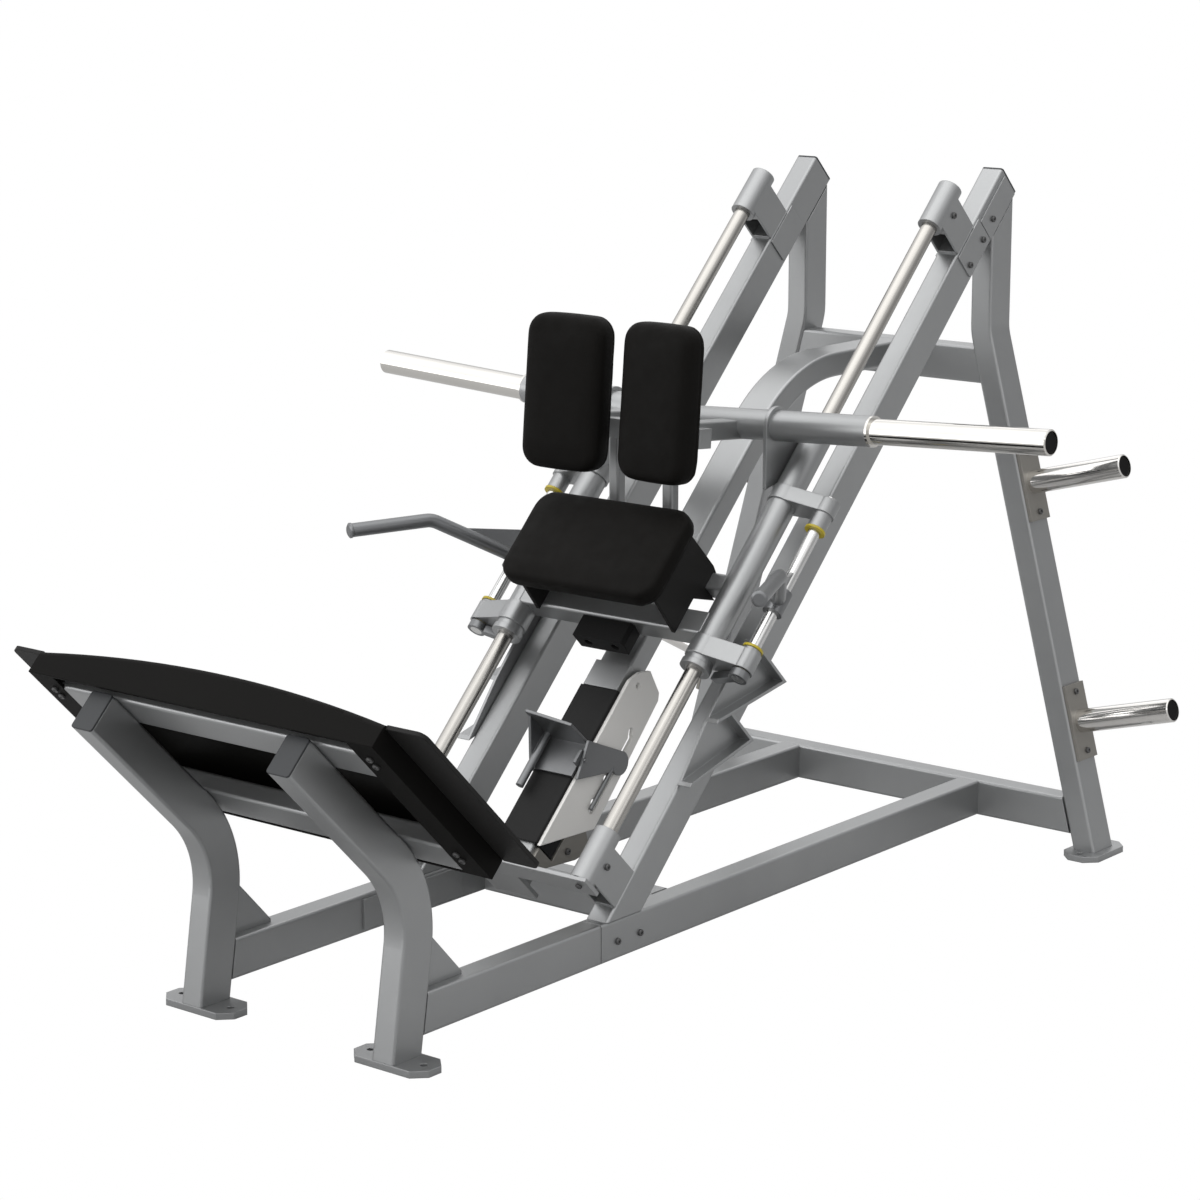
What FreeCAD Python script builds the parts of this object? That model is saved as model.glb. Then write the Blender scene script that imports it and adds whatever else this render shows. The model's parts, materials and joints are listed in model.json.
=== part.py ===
import FreeCAD
import Part
import math
import os
import re
import Sketcher
from FreeCAD import Placement, Rotation, Vector

# Leg press machine: a seat carriage runs on two guide rods at 45 degrees in front of a fixed foot platform.
# Row frame: origin on the floor under the middle of the machine, +X to the right seen from the foot end,
# +Y from the foot end to the rear, +Z up. Lengths named *_y below are counted from the foot of the front
# legs. Rail frame: "along" runs up the rails, "out" stands off their top faces, both from the point where
# the rails' top faces meet the base rails' top faces. Most upper parts are drawn in this frame.

doc = FreeCAD.newDocument("leg_press")

# ---------------------------------------------------------------- driving dimensions (mm, degrees)
driving_sizes = {
    # rectangular frame tube
    "tube_width": 50.8,
    "tube_depth": 76.2,
    "tube_wall": 3.0,
    "tube_corner": 6.0,
    "weld_plate": 8.0,
    "sheet_plate": 5.0,
    # main planes
    "rail_pitch": 469.0,
    "rail_foot_y": 568.0,
    "rail_angle": 45.0,
    "rail_length": 1834.0,
    "base_top": 121.0,
    "base_set": 41.0,
    "splice_y": 552.0,
    "splice_gap": 2.5,
    "splice_length": 280.0,
    "front_cross_y": 765.0,
    # front legs
    "leg_foot_y": 19.2,
    "leg_lean": 9.1,
    "leg_knee_z": 306.25,
    "leg_reach": 419.5,
    "leg_bend": 198.0,
    "leg_gusset": 100.0,
    "cap_thickness": 4.0,
    # floor plates
    "floor_plate": 12.7,
    "front_plate_width": 176.0,
    "front_plate_depth": 80.0,
    "rear_plate_width": 84.0,
    "rear_plate_depth": 148.0,
    "rear_plate_set": 3.0,
    "plate_chamfer": 24.0,
    "anchor_hole": 14.0,
    "front_anchor_pitch": 124.0,
    "rear_anchor_pitch": 110.0,
    # uprights
    "upright_set": 9.2,
    "upright_kink_z": 1082.0,
    "upright_splay": 15.0,
    "upright_bend": 120.0,
    "upper_cross_z": 1012.0,
    "upper_set": 8.5,
    # spine tube
    "spine_out": 5.6,
    "spine_start": 38.0,
    "spine_level_z": 1023.6,
    "spine_bend": 334.6,
    # guide rods with their sockets and holders
    "rod_diameter": 32.0,
    "rod_out": 90.0,
    "rod_start": 35.0,
    "rod_seat": 90.0,
    "rod_clearance": 0.05,
    "socket_start": 30.0,
    "socket_end": 140.0,
    "socket_box_end": 114.0,
    "holder_set": 234.0,
    "holder_length": 103.0,
    "holder_box": 84.0,
    "bridge_wall": 5.0,
    "saddle_plate": 3.0,
    # catch brackets
    "catch_width": 30.0,
    "catch_rim": 6.0,
    "catch_upper": 624.0,
    "catch_lower": 482.0,
    "catch_low": 108.0,
    "catch_high": 31.0,
    "catch_run": 186.0,
    "catch_drop": 131.0,
    # weight horns
    "horn_diameter": 49.6,
    "horn_wall": 3.2,
    "horn_rise": 3.0,
    "horn_tip": 820.0,
    "horn_root": 432.0,
    "horn_along": 1012.7,
    "horn_out": 170.9,
    "horn_tube_diameter": 60.3,
    "horn_collar": 5.0,
    "plug_length": 14.0,
    "plug_recess": 1.5,
    # storage horns
    "store_length": 222.0,
    "store_upper_z": 772.0,
    "store_lower_z": 279.0,
    "store_plate_height": 160.0,
    "store_plate_width": 70.0,
    "store_bolt_pitch": 126.0,
    # foot platform
    "platform_half": 410.0,
    "platform_low": 30.5,
    "platform_high": 442.5,
    "platform_shoulder": 47.4,
    "platform_crown": 29.0,
    "platform_flange": 6.0,
    "platform_skin": 5.0,
    "flange_width": 60.0,
    "wing_width": 81.0,
    "wing_thickness": 8.0,
    "platform_edge": 12.0,
    "cross_depth": 38.0,
    "cross_upper": 368.5,
    "cross_lower": 74.0,
    "flange_bolt_rise": 18.0,
    "flange_bolt_pitch": 21.0,
    # stop column
    "cover_half": 47.5,
    "cover_start": 110.0,
    "cover_end": 460.0,
    "cover_wall": 6.3,
    "cover_gap": 0.2,
    "ratchet_thickness": 8.0,
    "ratchet_pitch": 55.0,
    "ratchet_slot": 13.0,
    "notch_reach": 16.0,
    "pin_radius": 5.0,
    "slider_plate": 6.0,
    "slider_start": 258.0,
    "slider_end": 335.0,
    "pin_along": 352.0,
    "pivot_along": 295.0,
    "pivot_out": 46.0,
    "slide_gap": 0.5,
    "notch_angle": 33.9,
    # carriage
    "sleeve_diameter": 57.0,
    "sleeve_collar": 62.0,
    "sleeve_start": 507.0,
    "sleeve_end": 1090.0,
    "bush_diameter": 40.0,
    "bush_length": 60.0,
    "seat_half": 189.0,
    "seat_start": 546.0,
    "seat_end": 757.0,
    "seat_out": 211.0,
    "seat_thickness": 52.5,
    "seat_corner": 42.0,
    "bracket_x": 168.0,
    "seat_cross_start": 572.0,
    "seat_cross_out": 91.5,
    "rear_cross_start": 681.0,
    "rear_cross_out": 83.0,
    "cross_tube": 38.1,
    "bumper_middle": 90.0,
    "bumper_height": 40.0,
    "bumper_length": 48.0,
    "pad_middle": 109.0,
    "pad_width": 180.0,
    "pad_low_y": 862.0,
    "pad_low_z": 885.6,
    "pad_height": 305.0,
    "pad_thickness": 60.0,
    "pad_tilt": 5.2,
    "pad_yaw": 7.0,
    "pad_corner": 42.0,
    "soft_gap": 0.3,
    "bar_middle": 84.5,
    "strut_x": 66.0,
    "strut_tube": 25.4,
    # locks
    "lock_x": 325.0,
    "lock_out": 75.0,
    "lock_shaft": 25.0,
    "lock_housing": 38.0,
    "lock_clearance": 0.05,
    "lock_start": 512.0,
    "lock_end": 934.0,
    "lower_block_start": 530.0,
    "lower_block_end": 572.0,
    "upper_block_start": 896.0,
    "upper_block_end": 928.0,
    "lower_housing_end": 578.0,
    "upper_housing_start": 862.0,
    "bush_flange": 5.0,
    "block_ring": 31.5,
    "housing_ring": 22.0,
    "pawl_reach": 74.3,
    "pawl_angle": 19.65,
    "pawl_half": 8.0,
    "pawl_length": 16.0,
    "handle_angle": 33.1,
    "handle_diameter": 28.0,
    "handle_root": 690.0,
    "handle_bend_along": 655.0,
    "handle_bend_out": 191.0,
    "handle_end_along": 538.0,
    "handle_end_out": 321.0,
    "handle_bend": 45.0,
    # bolts
    "bolt_head": 13.0,
    "bolt_height": 5.0,
    "bolt_socket": 6.0,
}

sheet = doc.addObject("Spreadsheet::Sheet", "size")
for row, (alias, number) in enumerate(driving_sizes.items(), start=1):
    sheet.set(f"A{row}", alias)
    sheet.set(f"B{row}", str(number))
    sheet.setAlias(f"B{row}", alias)
doc.recompute()


# ---------------------------------------------------------------- expressions
def bound(text):
    """The expression with every alias pointed at the sheet."""
    return re.sub(r"[a-z_]+", lambda word: "size." + word.group() if word.group() in driving_sizes
                  else word.group(), str(text))


def value(text):
    return float(sheet.evalExpression(bound(text)))


# ---------------------------------------------------------------- frames
def frame(origin, along, up):
    """Local X runs along, local Y runs up, local Z completes the right-handed set."""
    side = along.cross(up)
    turn = Rotation(along, up, side, "XYZ")
    return Placement(origin, turn)


east = Vector(1, 0, 0)
north = Vector(0, 1, 0)
sky = Vector(0, 0, 1)
tilt = math.radians(value("rail_angle"))
rail_along = Vector(0, math.cos(tilt), math.sin(tilt))
rail_out = Vector(0, -math.sin(tilt), math.cos(tilt))
upright_y = "(rail_foot_y + rail_length * cos(rail_angle) + upright_set)"
leg_front_y = ("(leg_foot_y + leg_knee_z * tan(leg_lean) - tube_depth / 2 * cos(rail_angle)"
               " - (leg_reach + cap_thickness) * sin(rail_angle))")
rear_end_y = f"({upright_y} - rear_plate_set + rear_plate_depth / 2)"
floor_centre = north * -value(f"({leg_front_y} + {rear_end_y}) / 2")
rail_foot = floor_centre + Vector(0, value("rail_foot_y"), value("base_top"))
floor_view = Placement(floor_centre, Rotation())      # sketches hold (x, y) or (x, z), or run along +X
side_view = frame(floor_centre, north, sky)      # sketches hold (y, z), lengths run along +X
rail_view = frame(rail_foot, rail_along, rail_out)      # sketches hold (along, out), lengths run along +X


def on_rail(x, along, out):
    return rail_foot + east * value(x) + rail_along * value(along) + rail_out * value(out)


# ---------------------------------------------------------------- sketches and features
def new_body(name, placement):
    body = doc.addObject("PartDesign::Body", name)
    body.Label = name
    body.Placement = placement
    return body


def origin_item(body, role):
    return next(item for item in body.Origin.OriginFeatures if item.Role == role)


def new_sketch(body, plane="XY_Plane", offset="0"):
    sketch = body.newObject("Sketcher::SketchObject", f"{body.Name}_sketch")
    sketch.AttachmentSupport = [(origin_item(body, plane), "")]
    sketch.MapMode = "FlatFace"
    sketch.setExpression("AttachmentOffset.Base.z", bound(offset))
    return sketch


def dimension(sketch, kind, geometry, spot, text):
    """A distance from the sketch's origin, or a radius, bound to an expression."""
    if kind == "Radius":
        constraint = Sketcher.Constraint("Radius", geometry, value(text))
    else:
        constraint = Sketcher.Constraint(kind, -1, 1, geometry, spot, value(text))
    number = sketch.addConstraint(constraint)
    name = f"{kind}_{number}"
    sketch.renameConstraint(number, name)
    sketch.setExpression(f"Constraints.{name}", bound(text))


def draw_polygon(sketch, corners):
    first = sketch.GeometryCount
    spots = [Vector(value(across), value(up), 0) for across, up in corners]
    count = len(spots)
    for index in range(count):
        sketch.addGeometry(Part.LineSegment(spots[index], spots[(index + 1) % count]))
    for index in range(count):
        following = first + (index + 1) % count
        sketch.addConstraint(Sketcher.Constraint("Coincident", first + index, 2, following, 1))
    for index, (across, up) in enumerate(corners):
        dimension(sketch, "DistanceX", first + index, 1, across)
        dimension(sketch, "DistanceY", first + index, 1, up)


def draw_circle(sketch, across, up, radius):
    centre = Vector(value(across), value(up), 0)
    circle = sketch.addGeometry(Part.Circle(centre, Vector(0, 0, 1), value(radius)))
    dimension(sketch, "DistanceX", circle, 3, across)
    dimension(sketch, "DistanceY", circle, 3, up)
    dimension(sketch, "Radius", circle, 0, radius)


def draw_rounded(sketch, across, up, width, height, corner):
    """A rounded rectangle centred on (across, up)."""
    left, right = f"{across} - ({width}) / 2", f"{across} + ({width}) / 2"
    low, high = f"{up} - ({height}) / 2", f"{up} + ({height}) / 2"
    x0, x1, y0, y1, r = (value(text) for text in (left, right, low, high, corner))
    first = sketch.GeometryCount
    runs = [((x0 + r, y0), (x1 - r, y0)), ((x1, y0 + r), (x1, y1 - r)),
            ((x1 - r, y1), (x0 + r, y1)), ((x0, y1 - r), (x0, y0 + r))]
    for (ax, ay), (bx, by) in runs:
        sketch.addGeometry(Part.LineSegment(Vector(ax, ay, 0), Vector(bx, by, 0)))
    centres = [(x1 - r, y0 + r, -90), (x1 - r, y1 - r, 0), (x0 + r, y1 - r, 90), (x0 + r, y0 + r, 180)]
    for cx, cy, start in centres:
        circle = Part.Circle(Vector(cx, cy, 0), Vector(0, 0, 1), r)
        sketch.addGeometry(Part.ArcOfCircle(circle, math.radians(start), math.radians(start + 90)))
    for index in range(4):
        arc = first + 4 + index
        sketch.addConstraint(Sketcher.Constraint("Tangent", first + index, 2, arc, 1))
        sketch.addConstraint(Sketcher.Constraint("Tangent", arc, 2, first + (index + 1) % 4, 1))
    for index in (0, 2):
        sketch.addConstraint(Sketcher.Constraint("Horizontal", first + index))
        sketch.addConstraint(Sketcher.Constraint("Vertical", first + index + 1))
    for index in (1, 2, 3):
        sketch.addConstraint(Sketcher.Constraint("Equal", first + 4, first + 4 + index))
    dimension(sketch, "Radius", first + 4, 0, corner)
    dimension(sketch, "DistanceY", first, 1, low)
    dimension(sketch, "DistanceX", first + 1, 1, right)
    dimension(sketch, "DistanceY", first + 2, 1, high)
    dimension(sketch, "DistanceX", first + 3, 1, left)


def draw_tube_section(sketch, across, up, width, height):
    draw_rounded(sketch, across, up, width, height, "tube_corner")
    draw_rounded(sketch, across, up, f"{width} - 2 * tube_wall", f"{height} - 2 * tube_wall",
                 "tube_corner - tube_wall")


def pad(body, sketch, length):
    """Material from the sketch's plane along its normal."""
    feature = body.newObject("PartDesign::Pad", f"{body.Name}_pad")
    feature.Profile = sketch
    feature.setExpression("Length", bound(length))
    return feature


def cut(body, sketch, length):
    """Material taken away from the sketch's plane along its normal."""
    feature = body.newObject("PartDesign::Pocket", f"{body.Name}_cut")
    feature.Profile = sketch
    feature.Reversed = True
    feature.setExpression("Length", bound(length))
    return feature


def prism(body, corners, start, length, plane="XY_Plane", taken=False):
    sketch = new_sketch(body, plane, start)
    draw_polygon(sketch, corners)
    return cut(body, sketch, length) if taken else pad(body, sketch, length)


def disc(body, across, up, radius, start, length, plane="XY_Plane", taken=False):
    sketch = new_sketch(body, plane, start)
    draw_circle(sketch, across, up, radius)
    return cut(body, sketch, length) if taken else pad(body, sketch, length)


def bore(body, centre, direction, radius, length):
    """A round hole about any line, its centre and direction given in the machine's frame."""
    sketch = body.newObject("Sketcher::SketchObject", f"{body.Name}_bore")
    start = centre - direction * (length / 2)
    sketch.Placement = body.Placement.inverse() * Placement(start, Rotation(Vector(0, 0, 1), direction))
    draw_circle(sketch, "0", "0", radius)
    return cut(body, sketch, str(length))


def lathe(body, outline, taken=False):
    """An outline of (along, radius) corners turned about the body's X axis."""
    sketch = new_sketch(body)
    draw_polygon(sketch, outline)
    kind = "PartDesign::Groove" if taken else "PartDesign::Revolution"
    feature = body.newObject(kind, f"{body.Name}_turned")
    feature.Profile = sketch
    feature.ReferenceAxis = (origin_item(body, "X_Axis"), [""])
    feature.Angle = 360
    return feature


def round_edges(body, radius, chosen):
    """Fillets every edge of the body for which chosen(edge) is true."""
    doc.recompute()
    base = body.Tip
    names = [f"Edge{number}" for number, edge in enumerate(base.Shape.Edges, start=1) if chosen(edge)]
    feature = body.newObject("PartDesign::Fillet", f"{body.Name}_fillet")
    feature.Base = (base, names)
    feature.setExpression("Radius", bound(radius))
    doc.recompute()
    return feature


def runs_along(axis):
    """Chooses straight edges that are parallel to the local axis 0, 1 or 2."""
    def chosen(edge):
        if edge.Curve.TypeId != "Part::GeomLine":
            return False
        direction = edge.Curve.Direction
        return abs(abs(direction[axis]) - 1) < 1e-6
    return chosen


def straight_tube(name, placement, start, length, across, up, width, height):
    """A rectangular tube along local X. Its section is centred on local (Y, Z) = (across, up)."""
    body = new_body(name, placement)
    sketch = new_sketch(body, "YZ_Plane", start)
    draw_tube_section(sketch, across, up, width, height)
    pad(body, sketch, length)
    return body


def bent_path(body, corners, bend):
    """A line, a tangent arc and a line through three corner points of the XY plane."""
    sketch = new_sketch(body)
    start, corner, end = (Vector(value(a), value(b), 0) for a, b in corners)
    back = (start - corner).normalize()
    onward = (end - corner).normalize()
    half = back.getAngle(onward) / 2
    radius = value(bend)
    reach = radius / math.tan(half)
    into, out = corner + back * reach, corner + onward * reach
    centre = corner + (back + onward).normalize() * (radius / math.sin(half))
    into_turn = math.atan2(into.y - centre.y, into.x - centre.x)
    out_turn = math.atan2(out.y - centre.y, out.x - centre.x)
    clockwise = back.cross(onward).z > 0
    first_turn, last_turn = (out_turn, into_turn) if clockwise else (into_turn, out_turn)
    if last_turn < first_turn:
        last_turn += 2 * math.pi
    sketch.addGeometry(Part.LineSegment(start, into))
    sketch.addGeometry(Part.ArcOfCircle(Part.Circle(centre, Vector(0, 0, 1), radius), first_turn,
                                        last_turn))
    sketch.addGeometry(Part.LineSegment(out, end))
    sketch.addGeometry(Part.Point(corner), True)
    first = 2 if clockwise else 1
    sketch.addConstraint(Sketcher.Constraint("Tangent", 0, 2, 1, first))
    sketch.addConstraint(Sketcher.Constraint("Tangent", 1, 3 - first, 2, 1))
    sketch.addConstraint(Sketcher.Constraint("PointOnObject", 3, 1, 0))
    sketch.addConstraint(Sketcher.Constraint("PointOnObject", 3, 1, 2))
    for geometry, spot, (across, up) in ((0, 1, corners[0]), (3, 1, corners[1]), (2, 2, corners[2])):
        dimension(sketch, "DistanceX", geometry, spot, across)
        dimension(sketch, "DistanceY", geometry, spot, up)
    dimension(sketch, "Radius", 1, 0, bend)
    return sketch


def swept(body, corners, bend, draw_section):
    """A section swept along a bent path. The section's U lies in the bend's plane, V along local Z."""
    path = bent_path(body, corners, bend)
    section = body.newObject("Sketcher::SketchObject", f"{body.Name}_section")
    section.AttachmentSupport = [(origin_item(body, "YZ_Plane"), "")]
    section.MapMode = "FlatFace"
    (start_x, start_y), (corner_x, corner_y) = corners[0], corners[1]
    rise = value(corner_y) - value(start_y)
    run = value(corner_x) - value(start_x)
    heading = math.degrees(math.atan2(rise, run))
    section.AttachmentOffset = Placement(Vector(), Rotation(Vector(0, 1, 0), heading))
    section.setExpression("AttachmentOffset.Base.x", bound(start_y))
    section.setExpression("AttachmentOffset.Base.z", bound(start_x))
    draw_section(section)
    feature = body.newObject("PartDesign::AdditivePipe", f"{body.Name}_swept")
    feature.Profile = section
    feature.Spine = (path, [])
    return feature


def group(name, members):
    """Separate solids that make one node."""
    compound = doc.addObject("Part::Compound", name)
    compound.Label = name
    compound.Links = members
    return compound


sides = {"left": -1, "right": 1}
nodes = []

half_pitch = "rail_pitch / 2"
base_low = "base_top - tube_depth"
base_mid = "base_top - tube_depth / 2"


def keep(item):
    """Marks an object as a node that is written out."""
    nodes.append(item)
    return item


def rectangle(left, right, low, high):
    return [(left, low), (right, low), (right, high), (left, high)]


def trim(body, corners, plane="XY_Plane"):
    """Cuts away everything inside the outline, over the whole width of the machine."""
    return prism(body, corners, "-2500", "5000", plane, taken=True)


def moved(placement, shift):
    return Placement(placement.Base + shift, placement.Rotation)


# ---------------------------------------------------------------- front legs and base
knee_y = "(leg_foot_y + leg_knee_z * tan(leg_lean))"
leg_path = [("leg_foot_y", "0"), (knee_y, "leg_knee_z"),
            (f"{knee_y} - leg_reach * sin(rail_angle)", "leg_knee_z + leg_reach * cos(rail_angle)")]
leg_back = "(leg_foot_y + tube_depth / 2 / cos(leg_lean))"
leg_back_top = f"({leg_back} + base_top * tan(leg_lean))"


def draw_leg_section(sketch):
    draw_tube_section(sketch, "0", "0", "tube_depth", "tube_width")


for name, side in sides.items():
    leg = new_body(f"front_leg_{name}", moved(side_view, east * side * value(half_pitch)))
    swept(leg, leg_path, "leg_bend", draw_leg_section)
    trim(leg, rectangle("-200", "300", "-100", "floor_plate"))
    keep(leg)

front_sections = []
for name, side in sides.items():
    section = straight_tube(f"base_front_section_{name}", side_view, "leg_foot_y",
                            "splice_y - splice_gap / 2 - leg_foot_y", base_mid, f"{side} * {half_pitch}",
                            "tube_depth", "tube_width")
    trim(section, [("-100", "-20"), (leg_back, "0"), (f"{leg_back} + 200 * tan(leg_lean)", "200"),
                   ("-100", "220")])
    front_sections.append(section)
    keep(straight_tube(f"base_rail_{name}", side_view, "splice_y + splice_gap / 2",
                       f"{upright_y} - base_set - splice_y - splice_gap / 2", base_mid,
                       f"{side} * {half_pitch}",
                       "tube_depth", "tube_width"))
keep(group("base_front_sections", front_sections))

inner_face = "(rail_pitch / 2 - tube_width / 2)"
outer_face = "(rail_pitch / 2 + tube_width / 2)"
keep(straight_tube("front_cross_tube", floor_view, f"-{inner_face}", f"2 * {inner_face}",
                   "front_cross_y + tube_width / 2", base_mid, "tube_width", "tube_depth"))

# ---------------------------------------------------------------- uprights and rear cross members
kink_to_floor = "(upright_kink_z * tan(upright_splay))"
rail_under_z = (f"(base_top + ({upright_y} - rail_foot_y) * tan(rail_angle)"
                " - tube_depth / cos(rail_angle))")
upright_view = frame(floor_centre + north * value(upright_y), east, sky)
upright_half = "(tube_width / 2 / cos(upright_splay))"


def draw_upright_section(sketch):
    draw_tube_section(sketch, "0", "0", "tube_width", "tube_depth")


for name, side in sides.items():
    upright = new_body(f"upright_{name}", upright_view)
    path = [(f"{side} * ({half_pitch} + {kink_to_floor})", "0"), (f"{side} * {half_pitch}",
                                                                  "upright_kink_z"),
            (f"{side} * {half_pitch}", f"{rail_under_z} + tube_depth")]
    swept(upright, path, "upright_bend", draw_upright_section)
    trim(upright, rectangle("-900", "900", "-100", "floor_plate"))
    trim(upright, [(f"{rail_under_z} + tube_depth", "-tube_depth"), (f"{rail_under_z} + 200",
                                                                     "-tube_depth"),
                   (f"{rail_under_z} + 200", "tube_depth"), (f"{rail_under_z} - tube_depth",
                                                             "tube_depth")],
         "YZ_Plane")
    keep(upright)


def splayed_tube(name, y, z):
    """A cross tube whose ends are cut to the inner faces of the splayed uprights."""
    half = f"({half_pitch} + (upright_kink_z - ({z})) * tan(upright_splay) - {upright_half})"
    body = straight_tube(name, floor_view, f"-{half} - tube_depth", f"2 * ({half} + tube_depth)", y, z,
                         "tube_width", "tube_depth")
    lean = "60 * tan(upright_splay)"
    for side in (-1, 1):
        trim(body, [(f"{side} * ({half} + {lean})", f"{z} - 60"), (f"{side} * ({half} + 200)",
                                                                   f"{z} - 60"),
                    (f"{side} * ({half} + 200)", f"{z} + 60"), (f"{side} * ({half} - {lean})",
                                                                f"{z} + 60")],
             "XZ_Plane")
    return body


keep(splayed_tube("rear_crossbeam", f"{upright_y} - base_set + tube_width / 2", base_mid))
keep(splayed_tube("upper_cross_member", f"{upright_y} - upper_set", "upper_cross_z"))

# ---------------------------------------------------------------- floor plates
plates = []
front_hole = "front_anchor_pitch / 2"
rear_hole = "rear_anchor_pitch / 2"


def floor_plate(name, centre, width, depth, holes):
    """A plate with four chamfered corners and two anchor holes."""
    body = new_body(name, Placement(floor_centre + centre, Rotation()))
    half_width, half_depth = f"({width}) / 2", f"({depth}) / 2"
    corners = [(f"-{half_width} + plate_chamfer", f"-{half_depth}"),
               (f"{half_width} - plate_chamfer", f"-{half_depth}"),
               (half_width, f"-{half_depth} + plate_chamfer"),
               (half_width, f"{half_depth} - plate_chamfer"),
               (f"{half_width} - plate_chamfer", half_depth), (f"-{half_width} + plate_chamfer",
                                                               half_depth),
               (f"-{half_width}", f"{half_depth} - plate_chamfer"),
               (f"-{half_width}", f"-{half_depth} + plate_chamfer")]
    prism(body, corners, "0", "floor_plate")
    for across, up in holes:
        disc(body, across, up, "anchor_hole / 2", "-1", "floor_plate + 2", taken=True)
    return body


front_plate_y = value("front_plate_depth / 2 - 18")
rear_plate_y = value(f"{upright_y} - rear_plate_set")
for name, side in sides.items():
    centre = Vector(side * value(half_pitch), front_plate_y, 0)
    plates.append(floor_plate(f"front_floor_plate_{name}", centre, "front_plate_width",
                              "front_plate_depth",
                              [(f"-{front_hole}", "0"), (front_hole, "0")]))
    centre = Vector(side * value(f"{half_pitch} + {kink_to_floor}"), rear_plate_y, 0)
    plates.append(floor_plate(f"rear_floor_plate_{name}", centre, "rear_plate_width", "rear_plate_depth",
                              [("0", f"-{rear_hole}"), ("0", rear_hole)]))
keep(group("floor_plates", plates))

# ---------------------------------------------------------------- inclined rails
for name, side in sides.items():
    rail = straight_tube(f"incline_rail_{name}", rail_view, "-20", "rail_length + 20", "-tube_depth / 2",
                         f"{side} * {half_pitch}", "tube_depth", "tube_width")
    trim(rail, [("-60", "60"), ("-60", "-140"), ("140", "-140")])
    keep(rail)

holder_start = "(rail_length - holder_set)"
holder_end = f"({holder_start} + holder_length)"
holder_box_end = f"({holder_start} + holder_box)"
rod_end = f"({holder_start} + rod_seat)"

# ---------------------------------------------------------------- end caps
caps = []
knee = floor_centre + Vector(0, value(knee_y), value("leg_knee_z"))
for name, side in sides.items():
    leg_end = knee + rail_out * value("leg_reach") + east * side * value(half_pitch)
    rail_end = on_rail(f"{side} * {half_pitch}", "rail_length", "-tube_depth / 2")
    for kind, origin, out in (("leg", leg_end, rail_out), ("rail", rail_end, rail_along)):
        cap = new_body(f"{kind}_cap_{name}", frame(origin, out, out.cross(east)))
        sketch = new_sketch(cap, "YZ_Plane")
        draw_rounded(sketch, "0", "0", "tube_depth", "tube_width", "tube_corner")
        pad(cap, sketch, "cap_thickness")
        caps.append(cap)
keep(group("tube_end_caps", caps))

# ---------------------------------------------------------------- gussets, splice plates and head plates
joints = []
for name, side in sides.items():
    gusset = new_body(f"leg_gusset_{name}", side_view)
    top = "(base_top + leg_gusset)"
    prism(gusset, [(leg_back_top, "base_top"), (f"{leg_back_top} + leg_gusset + 10", "base_top"),
                   (f"{leg_back_top} + leg_gusset + 10", "base_top + 6"),
                   (f"{leg_back} + {top} * tan(leg_lean) + 6", top),
                   (f"{leg_back} + {top} * tan(leg_lean)", top)],
          f"{side} * {half_pitch} - weld_plate / 2", "weld_plate")
    splice = new_body(f"splice_plate_{name}", side_view)
    start = f"{inner_face} - sheet_plate" if side > 0 else f"-{inner_face}"
    half = "splice_length / 2"
    prism(splice, rectangle(f"splice_y - {half}", f"splice_y + {half}", f"{base_low} + 8",
                            "base_top - 8"),
          start, "sheet_plate")
    head = new_body(f"head_plate_{name}", rail_view)
    start = outer_face if side > 0 else f"-{outer_face} - saddle_plate"
    prism(head, rectangle(f"{holder_end} + 3", "rail_length - 5", "-tube_depth + 6", "-14"), start,
          "saddle_plate")
    joints += [gusset, splice, head]
keep(group("joint_plates", joints))

# ---------------------------------------------------------------- spine tube
spine_path = [("rail_foot_y + spine_start * cos(rail_angle) - spine_out * sin(rail_angle)",
               "base_top + spine_start * sin(rail_angle) + spine_out * cos(rail_angle)"),
              ("rail_foot_y + (spine_level_z - base_top) / tan(rail_angle) - spine_out / sin(rail_angle)",
               "spine_level_z"),
              (f"{upright_y} - upper_set - tube_width / 2", "spine_level_z")]
spine = new_body("spine_tube", side_view)
swept(spine, spine_path, "spine_bend", draw_upright_section)
keep(spine)

# ---------------------------------------------------------------- guide rods, sockets and holders
rod_radius = "(rod_diameter / 2)"
bore_radius = f"({rod_radius} + rod_clearance)"
boss_radius = "(tube_width / 2)"
for name, side in sides.items():
    rod = new_body(f"guide_rod_{name}", rail_view)
    disc(rod, "rod_out", f"{side} * {half_pitch}", rod_radius, "rod_start", f"{rod_end} - rod_start",
         "YZ_Plane")
    keep(rod)


def rod_bridge(name, side, start, length, box_start, box_length):
    """A boss round the rod's end on a hollow box that stands on the rail."""
    body = new_body(name, rail_view)
    middle = f"{side} * {half_pitch}"
    disc(body, "rod_out", middle, boss_radius, start, length, "YZ_Plane")
    prism(body, rectangle("0", "rod_out", f"{middle} - {boss_radius}", f"{middle} + {boss_radius}"),
          box_start, box_length, "YZ_Plane")
    prism(body, rectangle("bridge_wall", f"rod_out - {boss_radius} - 4",
                          f"{middle} - {boss_radius} + bridge_wall",
                          f"{middle} + {boss_radius} - bridge_wall"),
          f"{box_start} - 1", f"{box_length} - bridge_wall + 1", "YZ_Plane", taken=True)
    return body


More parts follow.
